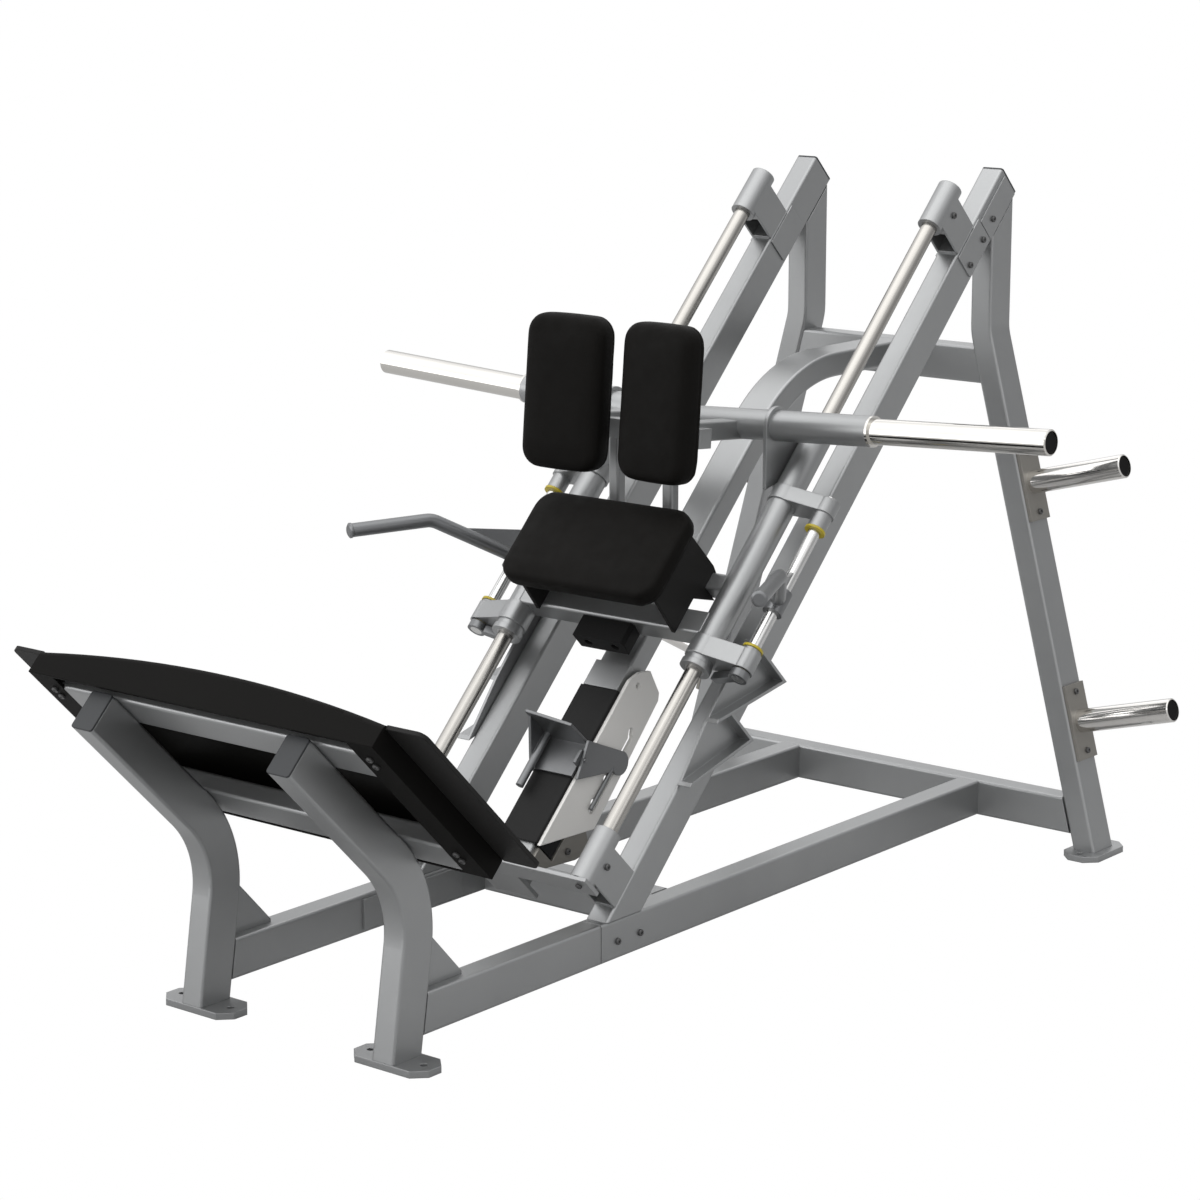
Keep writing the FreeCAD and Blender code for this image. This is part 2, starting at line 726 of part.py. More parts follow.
sockets, holders = [], []
for name, side in sides.items():
    middle = f"{side} * {half_pitch}"
    socket = rod_bridge(f"rod_socket_{name}", side, "socket_start", "socket_end - socket_start",
                        "socket_start + 5", "socket_box_end - socket_start - 5")
    disc(socket, "rod_out", middle, bore_radius, "rod_start", "socket_end", "YZ_Plane", taken=True)
    sockets.append(socket)
    holder = rod_bridge(f"rod_holder_{name}", side, holder_start, "holder_length",
                        f"{holder_start} + 8", "holder_box - 8")
    disc(holder, "rod_out", middle, bore_radius, f"{holder_start} - 1", "rod_seat + 1", "YZ_Plane",
         taken=True)
    holders.append(holder)
    for edge in (-1, 1):
        saddle = new_body(f"holder_saddle_{name}_{'inner' if edge * side < 0 else 'outer'}", rail_view)
        start = f"{middle} + {boss_radius}" if edge > 0 else f"{middle} - {boss_radius} - saddle_plate"
        prism(saddle, rectangle(f"{holder_start} + 2", f"{holder_end} + 1", "-tube_depth + 11", "-4"),
              start,
              "saddle_plate")
        holders.append(saddle)
keep(group("rod_sockets", sockets))
keep(group("rod_holders", holders))

cross_plate = new_body("anchor_cross_plate", rail_view)
prism(cross_plate, rectangle("62", "114", f"-{outer_face}", outer_face), "socket_start - weld_plate",
      "weld_plate",
      "YZ_Plane")
base_plate = new_body("stop_base_plate", rail_view)
prism(base_plate, rectangle("-36", "112", "-52", "52"), "socket_start", "spine_start - socket_start",
      "YZ_Plane")
keep(group("anchor_plates", [cross_plate, base_plate]))

# ---------------------------------------------------------------- catch brackets
brace_lean = "atan(catch_drop / catch_run)"
lower_lean = "atan((catch_low - 2) / 178)"
upper_end = "(catch_upper - catch_run)"
upper_end_out = "(catch_drop - catch_low)"
shared_out = f"((catch_upper - catch_lower) * tan({brace_lean}) - catch_low)"
lower_end = "(catch_lower - 178)"
for name, side in sides.items():
    catch = new_body(f"catch_bracket_{name}", rail_view)
    start = outer_face if side > 0 else f"-{outer_face} - catch_width"
    hollow = f"{outer_face} + catch_rim" if side > 0 else f"-{outer_face} - catch_width - 1"
    prism(catch, [("catch_upper", "-catch_low"), ("catch_upper", "catch_high"),
                  (upper_end, upper_end_out)],
          start, "catch_width")
    prism(catch, [("catch_lower", "8 - catch_low"), ("catch_lower", shared_out),
                  (upper_end, upper_end_out),
                  (lower_end, "6")], start, "catch_width")
    rim = "catch_rim"
    corner = f"-catch_low + {rim} / cos({brace_lean}) + {rim} * tan({brace_lean})"
    prism(catch, [(f"catch_upper - {rim}", corner), (f"catch_upper - {rim}", "60"),
                  (f"{upper_end} - 13", "60"),
                  (f"{upper_end} - 13", f"{corner} + (catch_run + 13 - {rim}) * tan({brace_lean})")],
          hollow, "catch_width - catch_rim + 1", taken=True)
    lean = "atan((catch_low - 2) / 178)"
    corner = f"8 - catch_low + {rim} / cos({lean}) + {rim} * tan({lean})"
    prism(catch, [(f"catch_lower - {rim}", corner),
                  (f"catch_lower - {rim}", f"{shared_out} + {rim} * tan({brace_lean})"),
                  (upper_end, upper_end_out), (upper_end, "60"), (f"{lower_end} - 14", "60"),
                  (f"{lower_end} - 14", f"{corner} + (192 - {rim}) * tan({lean})")],
          hollow, "catch_width - catch_rim + 1", taken=True)
    keep(catch)

# ---------------------------------------------------------------- storage horns on the uprights
def turned_horn(name, placement, root, tip, flange=None):
    """A tube with a softened tip. A flange, where given, seats it on a wider tube's end."""
    body = new_body(name, placement)
    outer, inner = "horn_diameter / 2", "horn_diameter / 2 - horn_wall"
    outline = [(root, inner), (root, flange or outer)]
    if flange:
        outline += [(f"{root} + horn_collar", flange), (f"{root} + horn_collar", outer)]
    outline += [(f"{tip} - 2", outer), (tip, f"{outer} - 2"), (tip, inner)]
    lathe(body, outline)
    return body


def plug(name, placement, tip):
    body = new_body(name, placement)
    reach = "(horn_diameter / 2 - horn_wall)"
    lathe(body, [(f"{tip} - plug_recess - plug_length", "0"), (f"{tip} - plug_recess - plug_length",
                                                               reach),
                 (f"{tip} - plug_recess - 1.5", reach), (f"{tip} - plug_recess", f"{reach} - 3"),
                 (f"{tip} - plug_recess", "0")])
    return body


splay = math.radians(value("upright_splay"))
store_horns, store_plugs, store_plates = [], [], []
bolt_spots = []
for name, side in sides.items():
    outward = Vector(side * math.cos(splay), 0, math.sin(splay))
    face_up = Vector(-side * math.sin(splay), 0, math.cos(splay))
    for level in ("upper", "lower"):
        height = value(f"store_{level}_z")
        face_x = value(f"{half_pitch} + (upright_kink_z - {height}) * tan(upright_splay) + {upright_half}")
        placement = frame(floor_centre + Vector(side * face_x, value(upright_y), height), outward,
                          face_up)
        plate = new_body(f"storage_plate_{level}_{name}", placement)
        prism(plate, rectangle("-store_plate_height / 2", "store_plate_height / 2",
                               "-store_plate_width / 2",
                               "store_plate_width / 2"), "0", "weld_plate", "YZ_Plane")
        store_plates.append(plate)
        store_horns.append(turned_horn(f"storage_horn_{level}_{name}", placement, "weld_plate",
                                       "weld_plate + store_length"))
        store_plugs.append(plug(f"storage_plug_{level}_{name}", placement, "weld_plate + store_length"))
        for end in (-1, 1):
            spot = placement.Base + outward * value("weld_plate")
            spot += face_up * end * value("store_bolt_pitch / 2")
            bolt_spots.append((spot, outward))
keep(group("storage_horns", store_horns))
keep(group("storage_horn_plugs", store_plugs))
keep(group("storage_brackets", store_plates))

# ---------------------------------------------------------------- foot platform
platform_view = frame(knee + rail_along * value("tube_depth / 2"), east, rail_along)
platform_length = "(platform_high - platform_low)"


def draw_arched(sketch, half, base, shoulder, shoulder_half, crown):
    """A closed outline with a flat base, upright sides, flat shoulders and an arched top."""
    spots = [(f"-{half}", base), (half, base), (half, shoulder), (shoulder_half, shoulder),
             (f"-{shoulder_half}", shoulder), (f"-{half}", shoulder)]
    points = [Vector(value(across), value(up), 0) for across, up in spots]
    for index in (0, 1, 2):
        sketch.addGeometry(Part.LineSegment(points[index], points[index + 1]))
    sketch.addGeometry(Part.Arc(points[3], Vector(0, value(crown), 0), points[4]))
    sketch.addGeometry(Part.LineSegment(points[4], points[5]))
    sketch.addGeometry(Part.LineSegment(points[5], points[0]))
    arc = sketch.Geometry[3]
    first = 1 if arc.StartPoint.distanceToPoint(points[3]) < 1e-6 else 2
    joins = [(0, 2, 1, 1), (1, 2, 2, 1), (2, 2, 3, first), (3, 3 - first, 4, 1), (4, 2, 5, 1),
             (5, 2, 0, 1)]
    for join in joins:
        sketch.addConstraint(Sketcher.Constraint("Coincident", *join))
    for index, line, spot in ((0, 0, 1), (1, 1, 1), (2, 2, 1), (3, 2, 2), (4, 4, 1), (5, 5, 1)):
        dimension(sketch, "DistanceX", line, spot, spots[index][0])
        dimension(sketch, "DistanceY", line, spot, spots[index][1])
    rise = f"({crown} - ({shoulder}))"
    dimension(sketch, "Radius", 3, 0, f"({shoulder_half} * {shoulder_half} + {rise} * {rise}) / 2 / {rise}")


platform = new_body("foot_platform", platform_view)
sketch = new_sketch(platform, "XY_Plane", "platform_low")
draw_arched(sketch, "platform_half", "0", "platform_shoulder", "(platform_half - 6)",
            "(platform_shoulder + platform_crown)")
pad(platform, sketch, platform_length)


def platform_ends(edge):
    """The arched edges over the platform's two ends."""
    low, high = value("platform_low"), value("platform_high")
    box = edge.BoundBox
    level = abs(box.ZMax - box.ZMin) < 0.01 and (abs(box.ZMin - low) < 0.01 or abs(box.ZMax - high) < 0.01)
    return level and box.YMin > value("platform_shoulder") - 0.01


inside = new_sketch(platform, "XY_Plane", "platform_low + platform_skin")
draw_arched(inside, "(platform_half - platform_skin)", "platform_flange",
            "(platform_shoulder - platform_skin)",
            "(platform_half - 6 - platform_skin)", "(platform_shoulder + platform_crown - platform_skin)")
cut(platform, inside, f"{platform_length} - 2 * platform_skin")
prism(platform, rectangle("flange_width - platform_half", "platform_half - flange_width", "-1",
                          "platform_flange + 1"), "platform_low + platform_skin",
      f"{platform_length} - 2 * platform_skin", taken=True)
round_edges(platform, "platform_edge", platform_ends)
keep(platform)

wings = []
for name, side in sides.items():
    wing = new_body(f"platform_wing_{name}", platform_view)
    prism(wing, rectangle(f"{side} * platform_half", f"{side} * (platform_half + wing_width)",
                          "platform_shoulder - wing_thickness", "platform_shoulder"),
          "platform_low - 3", f"{platform_length} - 3")
    round_edges(wing, "wing_thickness * 2",
                lambda edge: abs(edge.CenterOfMass.x) > value("platform_half + wing_width") - 0.01
                and edge.BoundBox.YLength > value("wing_thickness") - 0.01)
    wings.append(wing)
keep(group("platform_wings", wings))

supports = []
cross_half = "(platform_half - flange_width - 0.5)"
for level in ("upper", "lower"):
    out = f"cross_{level}"
    supports.append(straight_tube(f"platform_cross_tube_{level}", platform_view, f"-{cross_half}",
                                  f"2 * {cross_half}", "cross_depth / 2", out, "cross_depth",
                                  "tube_depth"))
    for name, side in sides.items():
        tab = new_body(f"platform_tab_{level}_{name}", platform_view)
        root, foot = f"{side} * {cross_half}", "platform_flange"
        prism(tab, [(root, foot), (f"{root} + {side} * 46", foot), (f"{root} + {side} * 46",
                                                                    f"{foot} + 5"),
                    (f"{root} + {side} * 5", f"{foot} + 5"), (f"{root} + {side} * 5", "cross_depth"),
                    (root, "cross_depth")], f"{out} - tube_depth / 2", "tube_depth")
        supports.append(tab)
keep(group("platform_cross_tubes", supports))

# ---------------------------------------------------------------- stop column
spine_half = "(tube_depth / 2)"
spine_low = "(spine_out - tube_width / 2)"
spine_high = "(spine_out + tube_width / 2)"


def sleeve_on_spine(name, start, length, half, low, high):
    body = new_body(name, rail_view)
    prism(body, rectangle(low, high, f"-{half}", half), start, length, "YZ_Plane")
    prism(body, rectangle(f"{spine_low} - cover_gap", f"{spine_high} + cover_gap",
                          f"-{spine_half} - cover_gap", f"{spine_half} + cover_gap"),
          f"{start} - 1", f"{length} + 2", "YZ_Plane", taken=True)
    return body


cover = sleeve_on_spine("column_cover", "cover_start", "cover_end - cover_start", "cover_half",
                        f"{spine_low} - cover_wall", f"{spine_high} + cover_wall")
round_edges(cover, "4", lambda edge: runs_along(0)(edge)
            and abs(abs(edge.CenterOfMass.z) - value("cover_half")) < 0.01)
keep(cover)
collar = sleeve_on_spine("column_collar", "cover_end + 2", "58", "42", f"{spine_low} - 4.5",
                         f"{spine_high} + 4.5")
keep(collar)

ratchet = new_body("ratchet_plate", rail_view)
prism(ratchet, [("107", "32"), ("490", "30"), ("519", "15"), ("540", "-10"), ("525", "-64"),
                ("512", "-73"),
                ("219", "-85")], "cover_half", "ratchet_thickness")
disc(ratchet, "497", "2", "6", "cover_half - 1", "ratchet_thickness + 2", taken=True)
channel_out = "-52"
slot = "(ratchet_slot / 2)"
first_notch = "(pin_along + ratchet_pitch)"
channel_low = f"({first_notch} - 3 * ratchet_pitch - 2)"
channel_high = f"({first_notch} + 3)"
prism(ratchet, rectangle(channel_low, channel_high, f"{channel_out} - {slot}", f"{channel_out} + {slot}"),
      "cover_half - 1", "ratchet_thickness + 2", taken=True)
for end in (channel_low, channel_high):
    disc(ratchet, end, channel_out, slot, "cover_half - 1", "ratchet_thickness + 2", taken=True)
for step in range(4):
    foot = f"({first_notch} - {step} * ratchet_pitch)"
    tip = f"({foot} + notch_reach * cos(notch_angle))"
    tip_out = f"({channel_out} + notch_reach * sin(notch_angle))"
    across, up = f"{slot} * sin(notch_angle)", f"{slot} * cos(notch_angle)"
    prism(ratchet, [(f"{foot} + {across}", f"{channel_out} - {up}"),
                    (f"{tip} + {across}", f"{tip_out} - {up}"),
                    (f"{tip} - {across}", f"{tip_out} + {up}"),
                    (f"{foot} - {across}", f"{channel_out} + {up}")],
          "cover_half - 1", "ratchet_thickness + 2", taken=True)
    disc(ratchet, tip, tip_out, slot, "cover_half - 1", "ratchet_thickness + 2", taken=True)
keep(ratchet)

anchor = new_body("stop_anchor", rail_view)
prism(anchor, [("55", "20"), ("108", "20"), ("108", "-31"), ("200", "-31"), ("215", "-60"),
               ("188", "-116"),
               ("149", "-90"), ("90", "-25"), ("55", "-15")], spine_half, "weld_plate")
keep(anchor)

# ---------------------------------------------------------------- stop slider and its lever
front_out = f"({spine_high} + cover_wall + slide_gap)"
cheek = "(cover_half + slide_gap)"
plate = "slider_plate"
slider = new_body("stop_slider", rail_view)
prism(slider, rectangle("slider_start", "slider_end", front_out, f"{front_out} + {plate}"),
      f"-{cheek} - {plate}",
      f"2 * {cheek} + {plate} + 3")
prism(slider, [(front_out, f"-{cheek} - {plate}"), ("132", f"-{cheek} - {plate}"), ("110", "46"),
               ("52", f"{cheek} + 3"), (front_out, f"{cheek} + 3")], f"slider_end - {plate}", plate,
      "YZ_Plane")
prism(slider, [("slider_start", f"{front_out} + {plate}"), (f"slider_end - {plate}",
                                                            f"{front_out} + {plate}"),
               (f"slider_end - {plate}", "118")], f"-{cheek} - {plate}", plate)
prism(slider, rectangle("slider_start", "slider_end", f"{spine_low} - cover_wall - slide_gap - {plate}",
                        f"{front_out} + 1"), f"-{cheek} - {plate}", plate)
prism(slider, rectangle("slider_start", "slider_end", f"{spine_low} - cover_wall - slide_gap - {plate}",
                        f"{spine_low} - cover_wall - slide_gap"), f"-{cheek} - 1", f"{cheek} + 36")
prism(slider, rectangle("280", "310", front_out, f"{front_out} + 22"), f"{cheek} + 2", "7")
disc(slider, "pivot_along", "pivot_out", "4", f"{cheek} + 8", "11")
disc(slider, "56", f"-{cheek} + 6", "8", "209", f"slider_end - {plate} - 209 + 1", "YZ_Plane")
keep(slider)

lever = new_body("stop_lever", rail_view)
lever_x = f"({cheek} + 10)"
prism(lever, [("pivot_along - 39", "pivot_out - 8"), ("pin_along - 23", "-46"), ("pin_along + 23", "-46"),
              ("pivot_along + 35", "pivot_out + 16")], lever_x, plate)
disc(lever, "pin_along", channel_out, "24", lever_x, plate)
disc(lever, "pivot_along", "pivot_out", "4 + lock_clearance", f"{lever_x} - 1", f"{plate} + 2",
     taken=True)
disc(lever, "pin_along", channel_out, "pin_radius", "cover_half + 1", f"{lever_x} - cover_half")
disc(lever, "-41", f"{lever_x} + {plate} / 2", "4.5", "237", "pin_along - 18 - 237", "YZ_Plane")
keep(lever)

# ---------------------------------------------------------------- carriage sleeves and bushes
bushes = []
for name, side in sides.items():
    middle = f"{side} * {half_pitch}"
    sleeve = new_body(f"sleeve_{name}", rail_view)
    disc(sleeve, "rod_out", middle, "sleeve_diameter / 2", "sleeve_start", "sleeve_end - sleeve_start",
         "YZ_Plane")
    for start in ("sleeve_start", "sleeve_end - 12"):
        disc(sleeve, "rod_out", middle, "sleeve_collar / 2", start, "12", "YZ_Plane")
    disc(sleeve, "rod_out", middle, "bush_diameter / 2", "sleeve_start - 1",
         "sleeve_end - sleeve_start + 2",
         "YZ_Plane", taken=True)
    keep(sleeve)
    for end, start in (("lower", "sleeve_start"), ("upper", "sleeve_end - bush_length")):
        bush = new_body(f"rod_bush_{end}_{name}", rail_view)
        sketch = new_sketch(bush, "YZ_Plane", start)
        draw_circle(sketch, "rod_out", middle, "bush_diameter / 2")
        draw_circle(sketch, "rod_out", middle, bore_radius)
        pad(bush, sketch, "bush_length")
        bushes.append(bush)
keep(group("rod_bushes", bushes))

# ---------------------------------------------------------------- weight horns
horn_centre = on_rail(0, "horn_along", "horn_out")
horn_lift = math.radians(value("horn_rise"))
horn_ways = {name: Vector(side * math.cos(horn_lift), 0, math.sin(horn_lift)) for name, side in sides.items()}
tube_radius = "(horn_tube_diameter / 2)"
tube_halves, horns, horn_plugs = [], [], []
for name, side in sides.items():
    face_up = Vector(-side * math.sin(horn_lift), 0, math.cos(horn_lift))
    placement = frame(horn_centre, horn_ways[name], face_up)
    half = new_body(f"horn_tube_{name}", placement)
    lathe(half, [("-8", f"{tube_radius} - horn_wall"), ("-8", tube_radius),
                 ("horn_root - horn_collar", tube_radius),
                 ("horn_root - horn_collar", f"{tube_radius} - horn_wall")])
    trim(half, [("60 * tan(horn_rise)", "60"), ("-60", "60"), ("-60", "-60"), ("-60 * tan(horn_rise)", "-60")])
    tube_halves.append(half)
    horns.append(turned_horn(f"weight_horn_{name}", placement, "horn_root - horn_collar", "horn_tip",
                             tube_radius))
    horn_plugs.append(plug(f"weight_plug_{name}", placement, "horn_tip"))
keep(group("horn_cross_tube", tube_halves))
keep(group("weight_horns", horns))
keep(group("weight_horn_plugs", horn_plugs))

gusset_face = "(rail_pitch / 2 - sleeve_diameter / 2)"
gusset_rise = f"(({gusset_face} - weld_plate / 2) * tan(horn_rise))"
gusset_along = f"(horn_along + {gusset_rise} * sin(rail_angle))"
gusset_out = f"(horn_out + {gusset_rise} * cos(rail_angle))"
gussets = []
for name, side in sides.items():
    gusset = new_body(f"carriage_gusset_{name}", rail_view)
    start = f"{gusset_face} - weld_plate" if side > 0 else f"-{gusset_face}"
    prism(gusset, [(f"{gusset_along} - 27", f"{gusset_out} + 27"), (f"{gusset_along} + 27", f"{gusset_out} - 27"),
                   (f"{gusset_along} + 20", "rod_out - 10"), ("upper_block_end + 2", "rod_out - 10"),
                   ("upper_block_end + 2", f"{gusset_out} - 72"), (f"{gusset_along} - 112", f"{gusset_out} - 58")],
          start, "weld_plate")
    disc(gusset, gusset_along, gusset_out, f"{tube_radius} + 8", start, "weld_plate")
    bore(gusset, horn_centre + horn_ways[name] * value(gusset_face), horn_ways[name], tube_radius, 60)
    gussets.append(gusset)
keep(group("carriage_gussets", gussets))

# ---------------------------------------------------------------- back pads and their frame
pad_tilt = math.radians(value("pad_tilt"))
pad_up = Vector(0, math.sin(pad_tilt), math.cos(pad_tilt))
pad_view = frame(floor_centre + Vector(0, value("pad_low_y"), value("pad_low_z")), east, pad_up)
for name, side in sides.items():
    turn = Placement(east * side * value("pad_middle"), Rotation(Vector(0, 1, 0),
                                                                 -side * value("pad_yaw")))
    cushion = new_body(f"back_pad_{name}", pad_view * turn)
    sketch = new_sketch(cushion, "XY_Plane", "-pad_thickness")
    draw_rounded(sketch, "0", "pad_height / 2", "pad_width", "pad_height", "pad_corner")
    pad(cushion, sketch, "pad_thickness")
    round_edges(cushion, "22", lambda edge: edge.BoundBox.ZMin > -0.01)
    round_edges(cushion, "10", lambda edge: edge.BoundBox.ZMax < 0.01 - value("pad_thickness"))
    keep(cushion)

strut_y = ("(rail_foot_y + (rear_cross_start + cross_tube) * cos(rail_angle)"
           " - (rear_cross_out + cross_tube / 2) * sin(rail_angle))")
strut_z = ("(base_top + (rear_cross_start + cross_tube) * sin(rail_angle)"
           " + (rear_cross_out + cross_tube / 2) * cos(rail_angle))")
board_front = "(pad_thickness + soft_gap)"
board_back = f"({board_front} + weld_plate)"
bar_depth = f"(({strut_y} - pad_low_y - bar_middle * sin(pad_tilt)) / cos(pad_tilt))"
horn_place = pad_view.inverse().multVec(horn_centre + sky * value("pad_middle * tan(horn_rise)"))
horn_up, horn_back = f"{horn_place.y:.5f}", f"{-horn_place.z:.5f}"
arm_middle = f"((bar_middle + {horn_up}) / 2)"
back_frame = new_body("back_frame", pad_view)
prism(back_frame, rectangle("-150", "150", "bar_middle - cross_tube / 2", "bar_middle + cross_tube / 2"),
      f"-({bar_depth} + cross_tube / 2)", "cross_tube")


def behind_pad(side, outward, depth):
    """A point of the XZ plane, given in the turned frame of one back pad."""
    return (f"{side} * (pad_middle + ({outward}) * cos(pad_yaw) + ({depth}) * sin(pad_yaw))",
            f"({outward}) * sin(pad_yaw) - ({depth}) * cos(pad_yaw)")


for side in (-1, 1):
    prism(back_frame, [behind_pad(side, "-62", board_front), behind_pad(side, "62", board_front),
                       behind_pad(side, "62", board_back), behind_pad(side, "-62", board_back)],
          "-265", "225", "XZ_Plane")
    sketch = new_sketch(back_frame, "XY_Plane", f"-{horn_back}")
    draw_rounded(sketch, f"{side} * pad_middle", arm_middle, "cross_tube", "cross_tube", "4")
    pad(back_frame, sketch, f"{horn_back} - {board_back} - 4")
for name in sides:
    bore(back_frame, horn_centre + horn_ways[name] * value("pad_middle"), horn_ways[name], tube_radius, 120)
keep(back_frame)

struts = []
for name, side in sides.items():
    strut = straight_tube(f"back_strut_{name}", frame(floor_centre, sky, east), "600", "420",
                          f"{side} * strut_x", strut_y, "strut_tube", "strut_tube")
    trim(strut, [(f"{strut_z} - 60", f"{strut_y} - 60"), (strut_z, strut_y),
                 (f"{strut_z} - 60", f"{strut_y} + 60"), ("500", f"{strut_y} + 60"),
                 ("500", f"{strut_y} - 60")],
         "XZ_Plane")
    lean = "60 * tan(pad_tilt)"
    middle = (f"pad_low_z + (bar_middle - cross_tube / 2) / cos(pad_tilt)"
              f" - ({strut_y} - pad_low_y) * tan(pad_tilt)")
    trim(strut, [(f"{middle} + {lean}", f"{strut_y} - 60"), (f"{middle} - {lean}", f"{strut_y} + 60"),
                 ("1200", f"{strut_y} + 60"), ("1200", f"{strut_y} - 60")], "XZ_Plane")
    struts.append(strut)
keep(group("back_struts", struts))

# ---------------------------------------------------------------- seat
deck_view = frame(rail_foot, east, rail_along)      # sketches hold (x, along), lengths run outward
seat = new_body("seat_pad", deck_view)
sketch = new_sketch(seat, "XY_Plane", "seat_out + soft_gap")
draw_rounded(sketch, "0", "(seat_start + seat_end) / 2", "2 * seat_half", "seat_end - seat_start",
             "seat_corner")
pad(seat, sketch, "seat_thickness")
round_edges(seat, "14", lambda edge: edge.BoundBox.ZMin > value("seat_out + seat_thickness"))
round_edges(seat, "20", lambda edge: edge.BoundBox.ZMax < value("seat_out + soft_gap") + 0.01)
keep(seat)

cross_tubes = []
for name, start, width, out in (("front", "seat_cross_start", "tube_width", "seat_cross_out"),
                                ("rear", "rear_cross_start", "cross_tube", "rear_cross_out")):
    tube = straight_tube(f"seat_cross_tube_{name}", deck_view, f"9 - {half_pitch}",
                         f"2 * ({half_pitch} - 9)",
                         f"{start} + {width} / 2", out, width, width)
    for side in (-1, 1):
        disc(tube, f"{side} * {half_pitch}", "rod_out", "sleeve_diameter / 2", "-1500", "1600",
             "XZ_Plane",
             taken=True)
    cross_tubes.append(tube)
keep(group("seat_cross_tubes", cross_tubes))

seat_cross_top = "(seat_cross_out + tube_width / 2)"
brackets = []
for name, side in sides.items():
    bracket = new_body(f"seat_bracket_{name}", rail_view)
    start = f"{side} * bracket_x - weld_plate / 2"
    prism(bracket, [("seat_cross_start - 8.5", seat_cross_top), ("seat_cross_start + 72", seat_cross_top),
                    ("rear_cross_start", "rear_cross_out - 25"), ("rear_cross_start + 29",
                                                                  "rear_cross_out - 32"),
                    ("rear_cross_start + 46", "rear_cross_out + 27"), ("rear_cross_start + 46",
                                                                       "seat_out"),
                    ("seat_cross_start + 1.5", "seat_out")], start, "weld_plate")
    prism(bracket, rectangle("rear_cross_start", "rear_cross_start + cross_tube", "rear_cross_out - 60",
                             "rear_cross_out + cross_tube / 2"), f"{start} - 1", "weld_plate + 2",
          taken=True)
    brackets.append(bracket)
keep(group("seat_brackets", brackets))

bumper = new_body("bumper", rail_view)
prism(bumper, [("bumper_middle - bumper_height / 2", "-62"), ("bumper_middle - bumper_height / 2", "56"),
               ("bumper_middle + bumper_height / 2 - 8", "62"), ("bumper_middle + bumper_height / 2",
                                                                 "56"),
               ("bumper_middle + bumper_height / 2", "-62")], "seat_cross_start - bumper_length",
      "bumper_length", "YZ_Plane")
for side in (-1, 1):
    disc(bumper, "bumper_middle", f"{side} * 33", "9", "seat_cross_start - bumper_length - 1", "11",
         "YZ_Plane",
         taken=True)
keep(bumper)

# ---------------------------------------------------------------- lock blocks and bushes
blocks, lock_bushes = [], []
for name, side in sides.items():
    middle, pivot = f"{side} * {half_pitch}", f"{side} * lock_x"
    for level, start, end, tube_start, tube_end in (
            ("lower", "lower_block_start", "lower_block_end", "lower_block_start", "lower_housing_end"),
            ("upper", "upper_block_start", "upper_block_end", "upper_housing_start", "upper_block_end")):
        block = new_body(f"lock_block_{level}_{name}", rail_view)
        disc(block, "rod_out", middle, "block_ring", start, f"{end} - {start}", "YZ_Plane")
        prism(block, [("rod_out - block_ring + 1", middle), ("lock_out - housing_ring + 1", pivot),
                      ("lock_out + housing_ring - 1", pivot),
                      ("rod_out + block_ring - 1", middle)], start, f"{end} - {start}", "YZ_Plane")
        disc(block, "lock_out", pivot, "housing_ring", start, f"{end} - {start}", "YZ_Plane")
        disc(block, "lock_out", pivot, "lock_housing / 2", tube_start, f"{tube_end} - {tube_start}",
             "YZ_Plane")
        disc(block, "rod_out", middle, "sleeve_diameter / 2", "400", "800", "YZ_Plane", taken=True)
        disc(block, "lock_out", pivot, "lock_housing / 2 - 3.5", "400", "800", "YZ_Plane", taken=True)
        blocks.append(block)
        bush = new_body(f"lock_bush_{level}_{name}", rail_view)
        flange = "lower_housing_end" if level == "lower" else "upper_housing_start - bush_flange"
        disc(bush, "lock_out", pivot, "lock_housing / 2 - 3.5", tube_start, f"{tube_end} - {tube_start}",
             "YZ_Plane")
        disc(bush, "lock_out", pivot, "21", flange, "bush_flange", "YZ_Plane")
        disc(bush, "lock_out", pivot, "lock_shaft / 2 + lock_clearance", "400", "800", "YZ_Plane",
             taken=True)
        lock_bushes.append(bush)
keep(group("lock_blocks", blocks))
keep(group("lock_bushes", lock_bushes))

